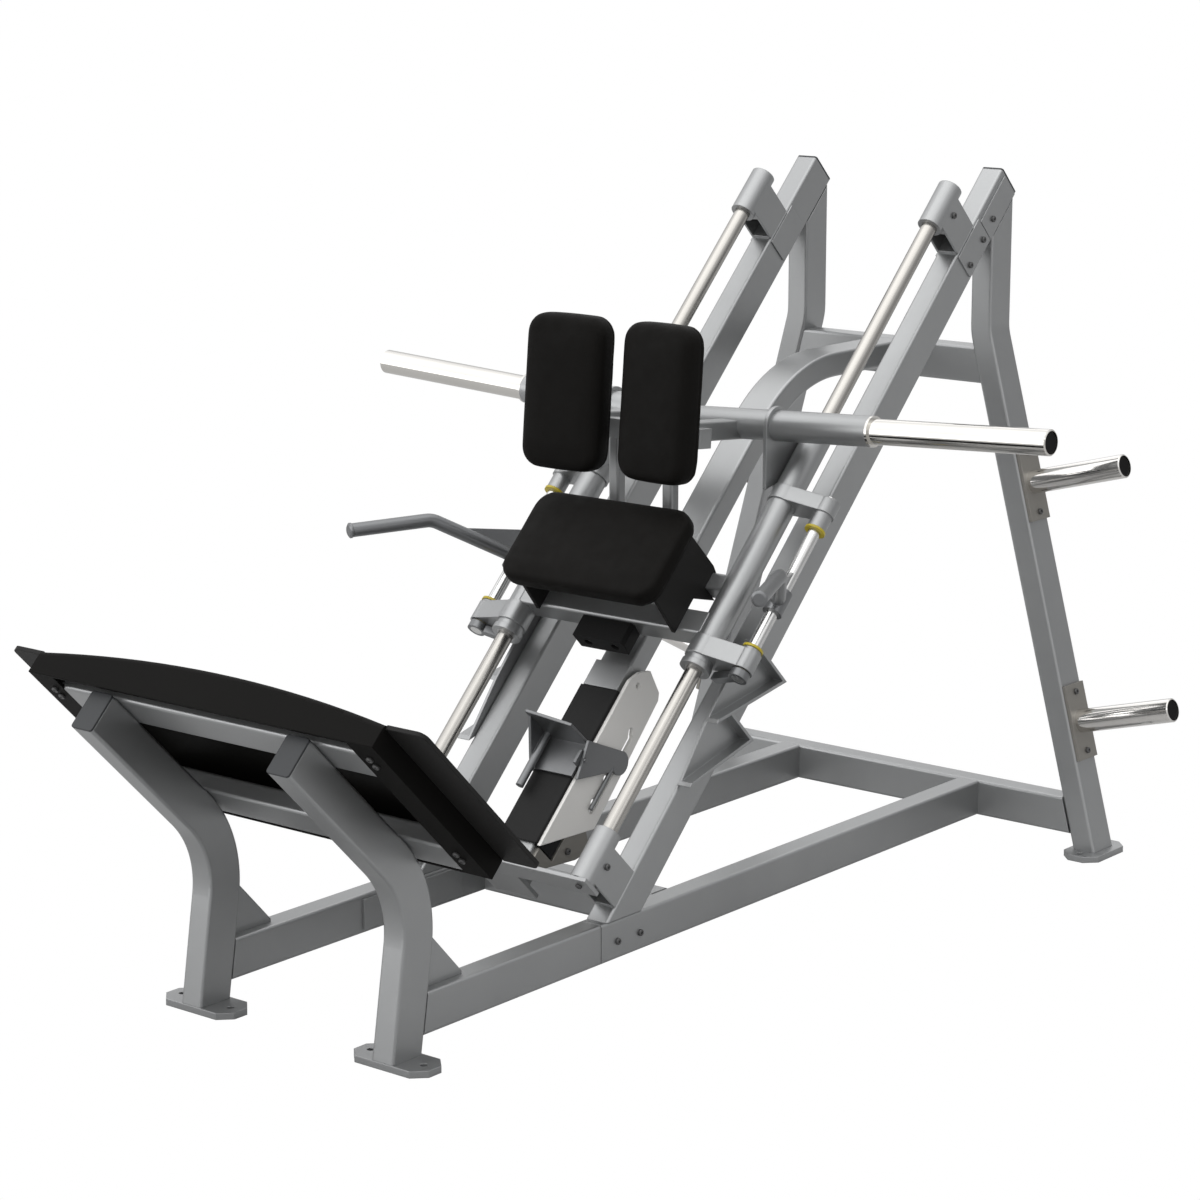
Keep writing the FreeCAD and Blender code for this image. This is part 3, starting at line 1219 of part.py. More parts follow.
# ---------------------------------------------------------------- locks
for name, side in sides.items():
    pivot = f"{side} * lock_x"
    shaft = new_body(f"lock_shaft_{name}", rail_view)
    disc(shaft, "lock_out", pivot, "lock_shaft / 2", "lock_start", "lock_end - lock_start", "YZ_Plane")
    keep(shaft)

    lean = math.radians(value("handle_angle"))
    outward = rail_out * math.cos(lean) + east * side * math.sin(lean)
    handle_view = frame(on_rail(pivot, 0, "lock_out"), rail_along, outward)
    grip = "handle_diameter / 2"
    handle = new_body(f"lock_lever_{name}", handle_view)
    swept(handle, [("handle_root", "18"), ("handle_bend_along", "handle_bend_out"),
                   ("handle_end_along", "handle_end_out")], "handle_bend",
          lambda section: draw_circle(section, "0", "0", grip))
    disc(handle, "0", "0", "20", "handle_root - 25", "50", "YZ_Plane")
    prism(handle, [("handle_root - 10", "17"), ("handle_root + 64", "lock_shaft / 2 + 0.1"),
                   ("handle_root - 12", "128")], "-3", "6")
    disc(handle, "0", "0", "lock_shaft / 2", "400", "700", "YZ_Plane", taken=True)
    end_point = handle_view.multVec(Vector(value("handle_end_along"), value("handle_end_out"), 0))
    heading = Vector(value("handle_end_along - handle_bend_along"),
                     value("handle_end_out - handle_bend_out"), 0)
    heading = handle_view.Rotation.multVec(heading.normalize())
    cap = new_body(f"lock_lever_cap_{name}", frame(end_point, heading, heading.cross(east)))
    lathe(cap, [("0", "0"), ("0", f"{grip} + 1.5"), ("3", f"{grip} + 1.5"), ("6", f"{grip} - 3"),
                ("6", "0")])
    keep(group(f"lock_handle_{name}", [handle, cap]))

    pawl = new_body(f"lock_pawl_{name}", moved(rail_view, on_rail(pivot, 0, "lock_out") - rail_foot))
    disc(pawl, "0", "0", "19", "lock_start", "pawl_length", "YZ_Plane")
    reach_out, reach_x = "-pawl_reach * sin(pawl_angle)", f"-{side} * pawl_reach * cos(pawl_angle)"
    wide_out, wide_x = "pawl_half * cos(pawl_angle)", f"-{side} * pawl_half * sin(pawl_angle)"
    prism(pawl, [(wide_out, wide_x), (f"{reach_out} + {wide_out}", f"{reach_x} + {wide_x}"),
                 (f"{reach_out} - {wide_out}", f"{reach_x} - ({wide_x})"),
                 (f"-{wide_out}", f"-({wide_x})")],
          "lock_start", "pawl_length", "YZ_Plane")
    disc(pawl, "0", "0", "lock_shaft / 2", "400", "300", "YZ_Plane", taken=True)
    keep(pawl)


# ---------------------------------------------------------------- bolt heads
def bolt_heads(name, spots):
    """Round heads with a hexagonal socket, one at each (point, direction)."""
    radius, height = value("bolt_head / 2"), value("bolt_height")
    head = Part.makeCylinder(radius, height)
    head = head.makeFillet(2.0, [edge for edge in head.Edges if edge.BoundBox.ZMin > height - 0.01])
    points = [Vector(math.cos(math.radians(turn)), math.sin(math.radians(turn)),
                     0) * value("bolt_socket / 2")
              for turn in range(0, 420, 60)]
    socket = Part.Face(Part.makePolygon(points)).extrude(Vector(0, 0, height))
    socket.translate(Vector(0, 0, height - 3.5))
    head = head.cut(socket)
    copies = []
    for point, direction in spots:
        copy = head.copy()
        copy.Placement = Placement(point, Rotation(Vector(0, 0, 1), direction))
        copies.append(copy)
    item = doc.addObject("Part::Feature", name)
    item.Label = name
    item.Shape = Part.makeCompound(copies)
    return item


for name, side in sides.items():
    outward = east * side
    face = f"{side} * {outer_face}"
    plated = f"{side} * ({outer_face} + saddle_plate)"
    for along, out in ((f"{holder_end} + 36", "-44"), (f"{holder_start} + 19", "-48"),
                       (f"{holder_start} + 86", "-47")):
        bolt_spots.append((on_rail(plated, along, out), outward))
    bolt_spots.append((on_rail(face, f"{holder_start} + 50", "70"), outward))
    bolt_spots.append((on_rail(face, 77, 77), outward))
    for y in ("splice_y + 48", "splice_y + 115"):
        bolt_spots.append((floor_centre + Vector(value(face), value(y), value("base_top - 42")), outward))
    bolt_spots.append((on_rail(f"{side} * {half_pitch}", "socket_start - weld_plate", 92), -rail_along))
    for level in ("upper", "lower"):
        for step in (-1, 1):
            point = Vector(side * value("platform_half - flange_width / 2 - 4"), 0,
                           value(f"cross_{level} + flange_bolt_rise + {step} * flange_bolt_pitch / 2"))
            bolt_spots.append((platform_view.multVec(point), -rail_along))
bolt_spots.append((on_rail(f"{spine_half} + weld_plate", 148, -57), east))
keep(bolt_heads("frame_bolts", bolt_spots))
keep(bolt_heads("carriage_bolts", [(on_rail(33 * side, "seat_cross_start - bumper_length + 10",
                                            "bumper_middle"), -rail_along)
                                   for side in (-1, 1)]))

# ---------------------------------------------------------------- checks and output
doc.recompute()
for item in doc.Objects:
    if "Invalid" in item.State or "Error" in item.State:
        raise RuntimeError(f"{item.Label}: {item.State}")
    if item.TypeId in ("PartDesign::Pocket", "PartDesign::Groove"):
        if item.Shape.Volume > item.BaseFeature.Shape.Volume - 1:
            raise RuntimeError(f"{item.Label} takes nothing away")
for item in nodes:
    if item.Shape.isNull() or not item.Shape.isValid():
        raise RuntimeError(f"{item.Label} has no valid shape")

os.makedirs("parts", exist_ok=True)
for item in nodes:
    item.Shape.exportStep(f"parts/{item.Label}.step")
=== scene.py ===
import bpy
import json
import math
import numpy as np
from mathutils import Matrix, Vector

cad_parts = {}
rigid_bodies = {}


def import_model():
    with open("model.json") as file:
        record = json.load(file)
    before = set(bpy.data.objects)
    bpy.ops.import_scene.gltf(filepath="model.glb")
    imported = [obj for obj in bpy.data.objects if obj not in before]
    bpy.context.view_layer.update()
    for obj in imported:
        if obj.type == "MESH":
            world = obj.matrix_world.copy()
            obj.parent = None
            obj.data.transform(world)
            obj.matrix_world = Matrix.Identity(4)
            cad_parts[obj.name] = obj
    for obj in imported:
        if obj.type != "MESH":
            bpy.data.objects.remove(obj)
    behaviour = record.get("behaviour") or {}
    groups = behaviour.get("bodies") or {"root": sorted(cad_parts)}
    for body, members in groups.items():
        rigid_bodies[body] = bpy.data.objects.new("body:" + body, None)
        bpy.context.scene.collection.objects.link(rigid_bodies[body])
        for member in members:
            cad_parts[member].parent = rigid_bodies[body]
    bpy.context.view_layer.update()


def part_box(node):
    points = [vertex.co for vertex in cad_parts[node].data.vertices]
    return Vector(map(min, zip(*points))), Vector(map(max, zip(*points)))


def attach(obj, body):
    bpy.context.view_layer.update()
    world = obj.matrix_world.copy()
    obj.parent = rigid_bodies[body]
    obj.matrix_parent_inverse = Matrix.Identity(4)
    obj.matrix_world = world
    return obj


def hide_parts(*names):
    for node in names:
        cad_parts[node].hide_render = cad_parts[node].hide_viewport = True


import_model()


# shared shader groups: they give colours, masks, values and normals only
def newGroup(name, inputs, outputs):
    tree = bpy.data.node_groups.new(name, "ShaderNodeTree")
    for label, kind, default in inputs:
        socket = tree.interface.new_socket(label, in_out="INPUT", socket_type=kind)
        if default is not None:
            socket.default_value = default
    for label, kind in outputs:
        tree.interface.new_socket(label, in_out="OUTPUT", socket_type=kind)
    source = tree.nodes.new("NodeGroupInput")
    sink = tree.nodes.new("NodeGroupOutput")
    return tree, source, sink


def addNode(tree, kind, settings=None, values=None):
    node = tree.nodes.new(kind)
    for key, setting in (settings or {}).items():
        setattr(node, key, setting)
    for key, number in (values or {}).items():
        node.inputs[key].default_value = number
    return node


def join(tree, output, target):
    tree.links.new(output, target)


# broad, faint changes of tone over a surface, in object coordinates
def makeMottle():
    tree, source, sink = newGroup("mottle", [("Scale", "NodeSocketFloat", 3.0),
                                             ("Low", "NodeSocketFloat", 0.94),
                                             ("High", "NodeSocketFloat", 1.05)],
                                  [("Tone", "NodeSocketFloat")])
    place = addNode(tree, "ShaderNodeTexCoord")
    cloud = addNode(tree, "ShaderNodeTexNoise", values={"Detail": 5.0, "Roughness": 0.55})
    spread = addNode(tree, "ShaderNodeMapRange", values={"From Min": 0.3, "From Max": 0.7})
    join(tree, place.outputs["Object"], cloud.inputs["Vector"])
    join(tree, source.outputs["Scale"], cloud.inputs["Scale"])
    join(tree, cloud.outputs["Fac"], spread.inputs["Value"])
    join(tree, source.outputs["Low"], spread.inputs["To Min"])
    join(tree, source.outputs["High"], spread.inputs["To Max"])
    join(tree, spread.outputs["Result"], sink.inputs["Tone"])
    return tree


# a mask that is one on edges and fades over the given width; it marks worn edges and also painted highlights
# along the edges
def makeEdgeWearAndHighlight():
    tree, source, sink = newGroup("edgeWearAndHighlight", [("Width", "NodeSocketFloat", 0.0015),
                                               ("Break", "NodeSocketFloat", 40.0)],
                                  [("Mask", "NodeSocketFloat")])
    geometry = addNode(tree, "ShaderNodeNewGeometry")
    rounded = addNode(tree, "ShaderNodeBevel", {"samples": 4})
    likeness = addNode(tree, "ShaderNodeVectorMath", {"operation": "DOT_PRODUCT"})
    sharpness = addNode(tree, "ShaderNodeMapRange", values={"From Min": 0.995, "From Max": 0.90})
    place = addNode(tree, "ShaderNodeTexCoord")
    spots = addNode(tree, "ShaderNodeTexNoise", values={"Detail": 6.0, "Roughness": 0.65})
    threshold = addNode(tree, "ShaderNodeMapRange", values={"From Min": 0.42, "From Max": 0.62})
    product = addNode(tree, "ShaderNodeMath", {"operation": "MULTIPLY", "use_clamp": True})
    join(tree, source.outputs["Width"], rounded.inputs["Radius"])
    join(tree, rounded.outputs["Normal"], likeness.inputs[0])
    join(tree, geometry.outputs["Normal"], likeness.inputs[1])
    join(tree, likeness.outputs["Value"], sharpness.inputs["Value"])
    join(tree, place.outputs["Object"], spots.inputs["Vector"])
    join(tree, source.outputs["Break"], spots.inputs["Scale"])
    join(tree, spots.outputs["Fac"], threshold.inputs["Value"])
    join(tree, sharpness.outputs["Result"], product.inputs[0])
    join(tree, threshold.outputs["Result"], product.inputs[1])
    join(tree, product.outputs["Value"], sink.inputs["Mask"])
    return tree


# fine powder-coat relief: a normal with a slight orange peel
def makePeel():
    tree, source, sink = newGroup("peel", [("Scale", "NodeSocketFloat", 900.0),
                                           ("Strength", "NodeSocketFloat", 0.08),
                                           ("Distance", "NodeSocketFloat", 0.0004),
                                           ("Normal", "NodeSocketVector", None)],
                                  [("Normal", "NodeSocketVector"), ("Grain", "NodeSocketFloat")])
    place = addNode(tree, "ShaderNodeTexCoord")
    grain = addNode(tree, "ShaderNodeTexNoise", values={"Detail": 3.0, "Roughness": 0.5})
    relief = addNode(tree, "ShaderNodeBump")
    join(tree, place.outputs["Object"], grain.inputs["Vector"])
    join(tree, source.outputs["Scale"], grain.inputs["Scale"])
    join(tree, grain.outputs["Fac"], relief.inputs["Height"])
    join(tree, source.outputs["Strength"], relief.inputs["Strength"])
    join(tree, source.outputs["Distance"], relief.inputs["Distance"])
    join(tree, source.outputs["Normal"], relief.inputs["Normal"])
    join(tree, relief.outputs["Normal"], sink.inputs["Normal"])
    join(tree, grain.outputs["Fac"], sink.inputs["Grain"])
    return tree


# dust that settles on faces that look up
def makeDust():
    tree, source, sink = newGroup("dust", [("Amount", "NodeSocketFloat", 0.1)],
                                  [("Mask", "NodeSocketFloat")])
    geometry = addNode(tree, "ShaderNodeNewGeometry")
    split = addNode(tree, "ShaderNodeSeparateXYZ")
    upward = addNode(tree, "ShaderNodeMapRange", values={"From Min": 0.2, "From Max": 1.0})
    place = addNode(tree, "ShaderNodeTexCoord")
    cloud = addNode(tree, "ShaderNodeTexNoise", values={"Scale": 14.0, "Detail": 8.0, "Roughness": 0.6})
    patch = addNode(tree, "ShaderNodeMapRange", values={"From Min": 0.35, "From Max": 0.7})
    first = addNode(tree, "ShaderNodeMath", {"operation": "MULTIPLY"})
    second = addNode(tree, "ShaderNodeMath", {"operation": "MULTIPLY", "use_clamp": True})
    join(tree, geometry.outputs["Normal"], split.inputs["Vector"])
    join(tree, split.outputs["Z"], upward.inputs["Value"])
    join(tree, place.outputs["Object"], cloud.inputs["Vector"])
    join(tree, cloud.outputs["Fac"], patch.inputs["Value"])
    join(tree, upward.outputs["Result"], first.inputs[0])
    join(tree, patch.outputs["Result"], first.inputs[1])
    join(tree, first.outputs["Value"], second.inputs[0])
    join(tree, source.outputs["Amount"], second.inputs[1])
    join(tree, second.outputs["Value"], sink.inputs["Mask"])
    return tree


mottleGroup = makeMottle()
edgeWearAndHighlightGroup = makeEdgeWearAndHighlight()
peelGroup = makePeel()
dustGroup = makeDust()


def useGroup(tree, group, values=None):
    return addNode(tree, "ShaderNodeGroup", {"node_tree": group}, values)


def mixColours(tree, factor, first, second, mode="MIX"):
    node = addNode(tree, "ShaderNodeMix", {"data_type": "RGBA", "blend_type": mode, "clamp_factor": True})
    for socket, given in ((node.inputs[0], factor), (node.inputs[6], first), (node.inputs[7], second)):
        if isinstance(given, (int, float, tuple)):
            socket.default_value = given
        else:
            join(tree, given, socket)
    return node.outputs[2]


wornAndLitGain, wornAndLitLift = 1.7, 0.03  # edges are this much lighter than the coat: partly wear, partly a painted highlight
dustColour = (0.42, 0.41, 0.39, 1.0)


# painted or moulded surface: tone changes, edges lightened as wear and as a painted highlight, fine relief
# and a little dust
def coated(name, colour, roughness, wearAndHighlight=0.25, dust=0.06, mottle=(3.0, 0.93, 1.06), peel=0.10,
           specular=0.5, metallic=0.0, bevel=0.0025):
    material = bpy.data.materials.new(name)
    material.use_nodes = True
    tree = material.node_tree
    shader = tree.nodes["Principled BSDF"]
    tone = useGroup(tree, mottleGroup, {"Scale": mottle[0], "Low": mottle[1], "High": mottle[2]})
    toned = mixColours(tree, 1.0, (*colour, 1.0), tone.outputs["Tone"], "MULTIPLY")
    edges = useGroup(tree, edgeWearAndHighlightGroup)
    # edge colour: lighter than the coat, partly worn paint and partly a painted highlight along the edges
    wornAndLit = tuple(min(1.0, part * wornAndLitGain + wornAndLitLift) for part in colour)
    wearAndHighlightPart = addNode(tree, "ShaderNodeMath", {"operation": "MULTIPLY"})
    wearAndHighlightPart.inputs[1].default_value = wearAndHighlight
    join(tree, edges.outputs["Mask"], wearAndHighlightPart.inputs[0])
    edgeWornAndLit = mixColours(tree, wearAndHighlightPart.outputs["Value"], toned, (*wornAndLit, 1.0))
    settled = useGroup(tree, dustGroup, {"Amount": dust})
    dusty = mixColours(tree, settled.outputs["Mask"], edgeWornAndLit, dustColour)
    join(tree, dusty, shader.inputs["Base Color"])
    relief = useGroup(tree, peelGroup, {"Strength": peel})
    rounded = addNode(tree, "ShaderNodeBevel", {"samples": 4}, {"Radius": bevel})
    join(tree, rounded.outputs["Normal"], relief.inputs["Normal"])
    join(tree, relief.outputs["Normal"], shader.inputs["Normal"])
    rough = addNode(tree, "ShaderNodeMapRange", values={
        "From Min": 0.3, "From Max": 0.7, "To Min": roughness - 0.05, "To Max": roughness + 0.07})
    join(tree, relief.outputs["Grain"], rough.inputs["Value"])
    join(tree, rough.outputs["Result"], shader.inputs["Roughness"])
    shader.inputs["Specular IOR Level"].default_value = specular
    shader.inputs["Metallic"].default_value = metallic
    return material


# the true normal of round bars: out from the nearer of two axis lines, which share one direction;
# both sides of the machine are mirror images, so the lines are given for the right-hand side
def makeRoundNormal():
    group, start, end = newGroup("roundNormal", [("Direction", "NodeSocketVector", None),
                                                 ("Low Point", "NodeSocketVector", None),
                                                 ("High Point", "NodeSocketVector", None),
                                                 ("Split Height", "NodeSocketFloat", 0.0)],
                                 [("Normal", "NodeSocketVector")])
    place = addNode(group, "ShaderNodeTexCoord")
    parts = addNode(group, "ShaderNodeSeparateXYZ")
    width = addNode(group, "ShaderNodeMath", {"operation": "ABSOLUTE"})
    hand = addNode(group, "ShaderNodeMath", {"operation": "SIGN"})
    mirrored = addNode(group, "ShaderNodeCombineXYZ")
    swaps = addNode(group, "ShaderNodeCombineXYZ", values={"Y": 1.0, "Z": 1.0})
    above = addNode(group, "ShaderNodeMath", {"operation": "GREATER_THAN"})
    nearer = addNode(group, "ShaderNodeMix", {"data_type": "VECTOR"})
    offset = addNode(group, "ShaderNodeVectorMath", {"operation": "SUBTRACT"})
    along = addNode(group, "ShaderNodeVectorMath", {"operation": "PROJECT"})
    radial = addNode(group, "ShaderNodeVectorMath", {"operation": "SUBTRACT"})
    handed = addNode(group, "ShaderNodeVectorMath", {"operation": "MULTIPLY"})
    handedLine = addNode(group, "ShaderNodeVectorMath", {"operation": "MULTIPLY"})
    toWorld = {"vector_type": "NORMAL", "convert_from": "OBJECT", "convert_to": "WORLD"}
    turned = addNode(group, "ShaderNodeVectorTransform", toWorld)
    lengthwise = addNode(group, "ShaderNodeVectorTransform", toWorld)
    geometry = addNode(group, "ShaderNodeNewGeometry")
    facing = addNode(group, "ShaderNodeVectorMath", {"operation": "DOT_PRODUCT"})
    side = addNode(group, "ShaderNodeMath", {"operation": "SIGN"})
    signed = addNode(group, "ShaderNodeVectorMath", {"operation": "SCALE"})
    endwise = addNode(group, "ShaderNodeVectorMath", {"operation": "DOT_PRODUCT"})
    endAmount = addNode(group, "ShaderNodeMath", {"operation": "ABSOLUTE"})
    isEnd = addNode(group, "ShaderNodeMath", {"operation": "GREATER_THAN"})
    isEnd.inputs[1].default_value = 0.35  # a face turned this far along the bar is its end
    chosen = addNode(group, "ShaderNodeMix", {"data_type": "VECTOR"})
    join(group, place.outputs["Object"], parts.inputs["Vector"])
    join(group, parts.outputs["Z"], above.inputs[0])
    join(group, start.outputs["Split Height"], above.inputs[1])
    join(group, above.outputs["Value"], nearer.inputs["Factor"])
    join(group, start.outputs["Low Point"], nearer.inputs[4])
    join(group, start.outputs["High Point"], nearer.inputs[5])
    join(group, parts.outputs["X"], width.inputs[0])
    join(group, parts.outputs["X"], hand.inputs[0])
    join(group, width.outputs["Value"], mirrored.inputs["X"])
    join(group, parts.outputs["Y"], mirrored.inputs["Y"])
    join(group, parts.outputs["Z"], mirrored.inputs["Z"])
    join(group, hand.outputs["Value"], swaps.inputs["X"])
    join(group, mirrored.outputs["Vector"], offset.inputs[0])
    join(group, nearer.outputs[1], offset.inputs[1])
    join(group, offset.outputs["Vector"], along.inputs[0])
    join(group, start.outputs["Direction"], along.inputs[1])
    join(group, offset.outputs["Vector"], radial.inputs[0])
    join(group, along.outputs["Vector"], radial.inputs[1])
    join(group, radial.outputs["Vector"], handed.inputs[0])
    join(group, swaps.outputs["Vector"], handed.inputs[1])
    join(group, start.outputs["Direction"], handedLine.inputs[0])
    join(group, swaps.outputs["Vector"], handedLine.inputs[1])
    join(group, handed.outputs["Vector"], turned.inputs["Vector"])
    join(group, handedLine.outputs["Vector"], lengthwise.inputs["Vector"])
    join(group, turned.outputs["Vector"], facing.inputs[0])
    join(group, geometry.outputs["True Normal"], facing.inputs[1])
    join(group, facing.outputs["Value"], side.inputs[0])
    join(group, turned.outputs["Vector"], signed.inputs[0])
    join(group, side.outputs["Value"], signed.inputs["Scale"])
    join(group, lengthwise.outputs["Vector"], endwise.inputs[0])
    join(group, geometry.outputs["True Normal"], endwise.inputs[1])
    join(group, endwise.outputs["Value"], endAmount.inputs[0])
    join(group, endAmount.outputs["Value"], isEnd.inputs[0])
    join(group, isEnd.outputs["Value"], chosen.inputs["Factor"])
    join(group, signed.outputs["Vector"], chosen.inputs[4])
    join(group, geometry.outputs["True Normal"], chosen.inputs[5])
    join(group, chosen.outputs[1], end.inputs["Normal"])
    return group


roundGroup = makeRoundNormal()


# bright metal bars with faint turning marks; the axis lines make their rounds smooth
def plated(name, colour, roughness, direction, lowPoint, highPoint=None, streak=0.03):
    material = bpy.data.materials.new(name)
    material.use_nodes = True
    tree = material.node_tree
    shader = tree.nodes["Principled BSDF"]
    tone = useGroup(tree, mottleGroup, {"Scale": 9.0, "Low": 0.96, "High": 1.02})
    toned = mixColours(tree, 1.0, (*colour, 1.0), tone.outputs["Tone"], "MULTIPLY")
    join(tree, toned, shader.inputs["Base Color"])
    highPoint = highPoint or lowPoint
    rounded = useGroup(tree, roundGroup, {
        "Direction": direction, "Low Point": lowPoint, "High Point": highPoint,
        "Split Height": (lowPoint[2] + highPoint[2]) / 2})
    place = addNode(tree, "ShaderNodeTexCoord")
    grain = addNode(tree, "ShaderNodeTexNoise", values={"Scale": 240.0, "Detail": 3.0, "Roughness": 0.5})
    relief = addNode(tree, "ShaderNodeBump", values={"Strength": 0.03, "Distance": 0.0004})
    join(tree, place.outputs["Object"], grain.inputs["Vector"])
    join(tree, grain.outputs["Fac"], relief.inputs["Height"])
    join(tree, rounded.outputs["Normal"], relief.inputs["Normal"])
    join(tree, relief.outputs["Normal"], shader.inputs["Normal"])
    rough = addNode(tree, "ShaderNodeMapRange", values={
        "From Min": 0.3, "From Max": 0.7, "To Min": roughness, "To Max": roughness + streak})
    join(tree, grain.outputs["Fac"], rough.inputs["Value"])
    join(tree, rough.outputs["Result"], shader.inputs["Roughness"])
    shader.inputs["Metallic"].default_value = 1.0
    return material


# black grained vinyl: pebbled relief over softer folds, with painted shade in the grain's grooves
def upholstery(name, colour):
    material = bpy.data.materials.new(name)
    material.use_nodes = True
    tree = material.node_tree
    shader = tree.nodes["Principled BSDF"]
    place = addNode(tree, "ShaderNodeTexCoord")
    pebbles = addNode(tree, "ShaderNodeTexVoronoi", {"feature": "DISTANCE_TO_EDGE"}, {"Scale": 620.0})
    folds = addNode(tree, "ShaderNodeTexNoise", values={"Scale": 38.0, "Detail": 4.0, "Roughness": 0.55})
    join(tree, place.outputs["Object"], pebbles.inputs["Vector"])
    join(tree, place.outputs["Object"], folds.inputs["Vector"])
    grooves = addNode(tree, "ShaderNodeMapRange", values={"From Min": 0.0, "From Max": 0.12})
    join(tree, pebbles.outputs["Distance"], grooves.inputs["Value"])
    fine = addNode(tree, "ShaderNodeBump", values={"Strength": 0.22, "Distance": 0.0004})
    broad = addNode(tree, "ShaderNodeBump", values={"Strength": 0.12, "Distance": 0.002})
    join(tree, grooves.outputs["Result"], fine.inputs["Height"])
    join(tree, folds.outputs["Fac"], broad.inputs["Height"])
    join(tree, broad.outputs["Normal"], fine.inputs["Normal"])
    join(tree, fine.outputs["Normal"], shader.inputs["Normal"])
    tone = useGroup(tree, mottleGroup, {"Scale": 5.0, "Low": 0.88, "High": 1.12})
    toned = mixColours(tree, 1.0, (*colour, 1.0), tone.outputs["Tone"], "MULTIPLY")
    # painted shade: the grain's grooves are coloured darker than the vinyl
    grooveShadeColour = tuple(part * 0.6 for part in colour)
    shadedGrooves = mixColours(tree, grooves.outputs["Result"], (*grooveShadeColour, 1.0), toned)
    settled = useGroup(tree, dustGroup, {"Amount": 0.003})
    dusty = mixColours(tree, settled.outputs["Mask"], shadedGrooves, (0.30, 0.29, 0.28, 1.0))
    join(tree, dusty, shader.inputs["Base Color"])
    rough = addNode(tree, "ShaderNodeMapRange", values={
        "From Min": 0.3, "From Max": 0.7, "To Min": 0.52, "To Max": 0.64})
    join(tree, folds.outputs["Fac"], rough.inputs["Value"])
    join(tree, rough.outputs["Result"], shader.inputs["Roughness"])
    shader.inputs["Specular IOR Level"].default_value = 0.07
    return material


# the middle and the long direction of a node's right-hand bar, between two heights
def barLine(node, above=-9.0, below=9.0):
    corners = [vertex.co for vertex in bpy.data.objects[node].data.vertices]
    spots = np.array([tuple(corner) for corner in corners if corner.x > 0 and above < corner.z < below])
    middle = (spots.min(axis=0) + spots.max(axis=0)) / 2
    spread = spots - spots.mean(axis=0)
    direction = np.linalg.svd(spread, full_matrices=False)[2][0]
    return tuple(float(part) for part in direction), tuple(float(part) for part in middle)


coats = {  # paints, plastics and plain steel
    "framePaint": {"colour": (0.315, 0.320, 0.322), "roughness": 0.36, "wearAndHighlight": 0.2, "dust": 0.008,
                   "metallic": 0.85},
    "slidePaint": {"colour": (0.180, 0.184, 0.188), "roughness": 0.36, "dust": 0.008, "metallic": 0.85},
    "warmPaint": {"colour": (0.24, 0.23, 0.21), "roughness": 0.40, "dust": 0.01, "metallic": 0.7},
    "platePaint": {"colour": (0.70, 0.69, 0.665), "roughness": 0.40, "dust": 0.01},
    "blackPaint": {"colour": (0.0044, 0.0041, 0.0037), "roughness": 0.55, "wearAndHighlight": 0.22, "dust": 0.001,
                   "peel": 0.12, "specular": 0.05},
    # a lighter copy of the black coat with more specular and brighter edges: painted sheen and painted
    # highlight along the folds of the wings and seat brackets
    "litBlackFoldPaint": {"colour": (0.0125, 0.0122, 0.0118), "roughness": 0.50, "wearAndHighlight": 0.3, "dust": 0.002,
                  "peel": 0.12, "specular": 0.12},
    "capPlastic": {"colour": (0.032, 0.034, 0.036), "roughness": 0.50, "wearAndHighlight": 0.10, "dust": 0.005,
                   "peel": 0.2, "specular": 0.3},
    "blackPlastic": {"colour": (0.0020, 0.0020, 0.0020), "roughness": 0.50, "wearAndHighlight": 0.05, "dust": 0.001,
                     "peel": 0.2, "specular": 0.1},
    "coverPlastic": {"colour": (0.0060, 0.0060, 0.0060), "roughness": 0.48, "wearAndHighlight": 0.05, "dust": 0.002,
                     "peel": 0.22, "specular": 0.16},
    "rubber": {"colour": (0.0065, 0.0065, 0.0065), "roughness": 0.65, "wearAndHighlight": 0.05, "dust": 0.003,
               "peel": 0.30, "specular": 0.15},
    "yellowPlastic": {"colour": (0.42, 0.33, 0.012), "roughness": 0.38, "wearAndHighlight": 0.05, "dust": 0.01},
    "darkSteel": {"colour": (0.10, 0.10, 0.10), "roughness": 0.40, "wearAndHighlight": 0.2, "dust": 0.01,
                  "metallic": 0.8},
    "bushSteel": {"colour": (0.42, 0.42, 0.42), "roughness": 0.28, "dust": 0.005, "metallic": 1.0},
}
finishes = {name: coated(name, **facts) for name, facts in coats.items()}

storeLow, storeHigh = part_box("storage_horns")
storeSplit = (storeLow.z + storeHigh.z) / 2  # between the lower and the upper pair of storage horns
lowStore = barLine("storage_horns", below=storeSplit)
highStore = barLine("storage_horns", above=storeSplit)
bars = {  # plated and ground round bars
    "rodChrome": ((0.40, 0.387, 0.364), 0.20, *barLine("guide_rod_right"), None, 0.05),
    "hornChrome": ((0.64, 0.625, 0.595), 0.07, *barLine("weight_horns")),
    "storageChrome": ((0.70, 0.685, 0.66), 0.06, *lowStore, highStore[1]),
    "shaftSteel": ((0.62, 0.62, 0.61), 0.18, *barLine("lock_shaft_right"), None, 0.06),
}
for name, facts in bars.items():
    finishes[name] = plated(name, *facts)
finishes["vinyl"] = upholstery("vinyl", (0.0046, 0.0041, 0.0035))
print("materials made")

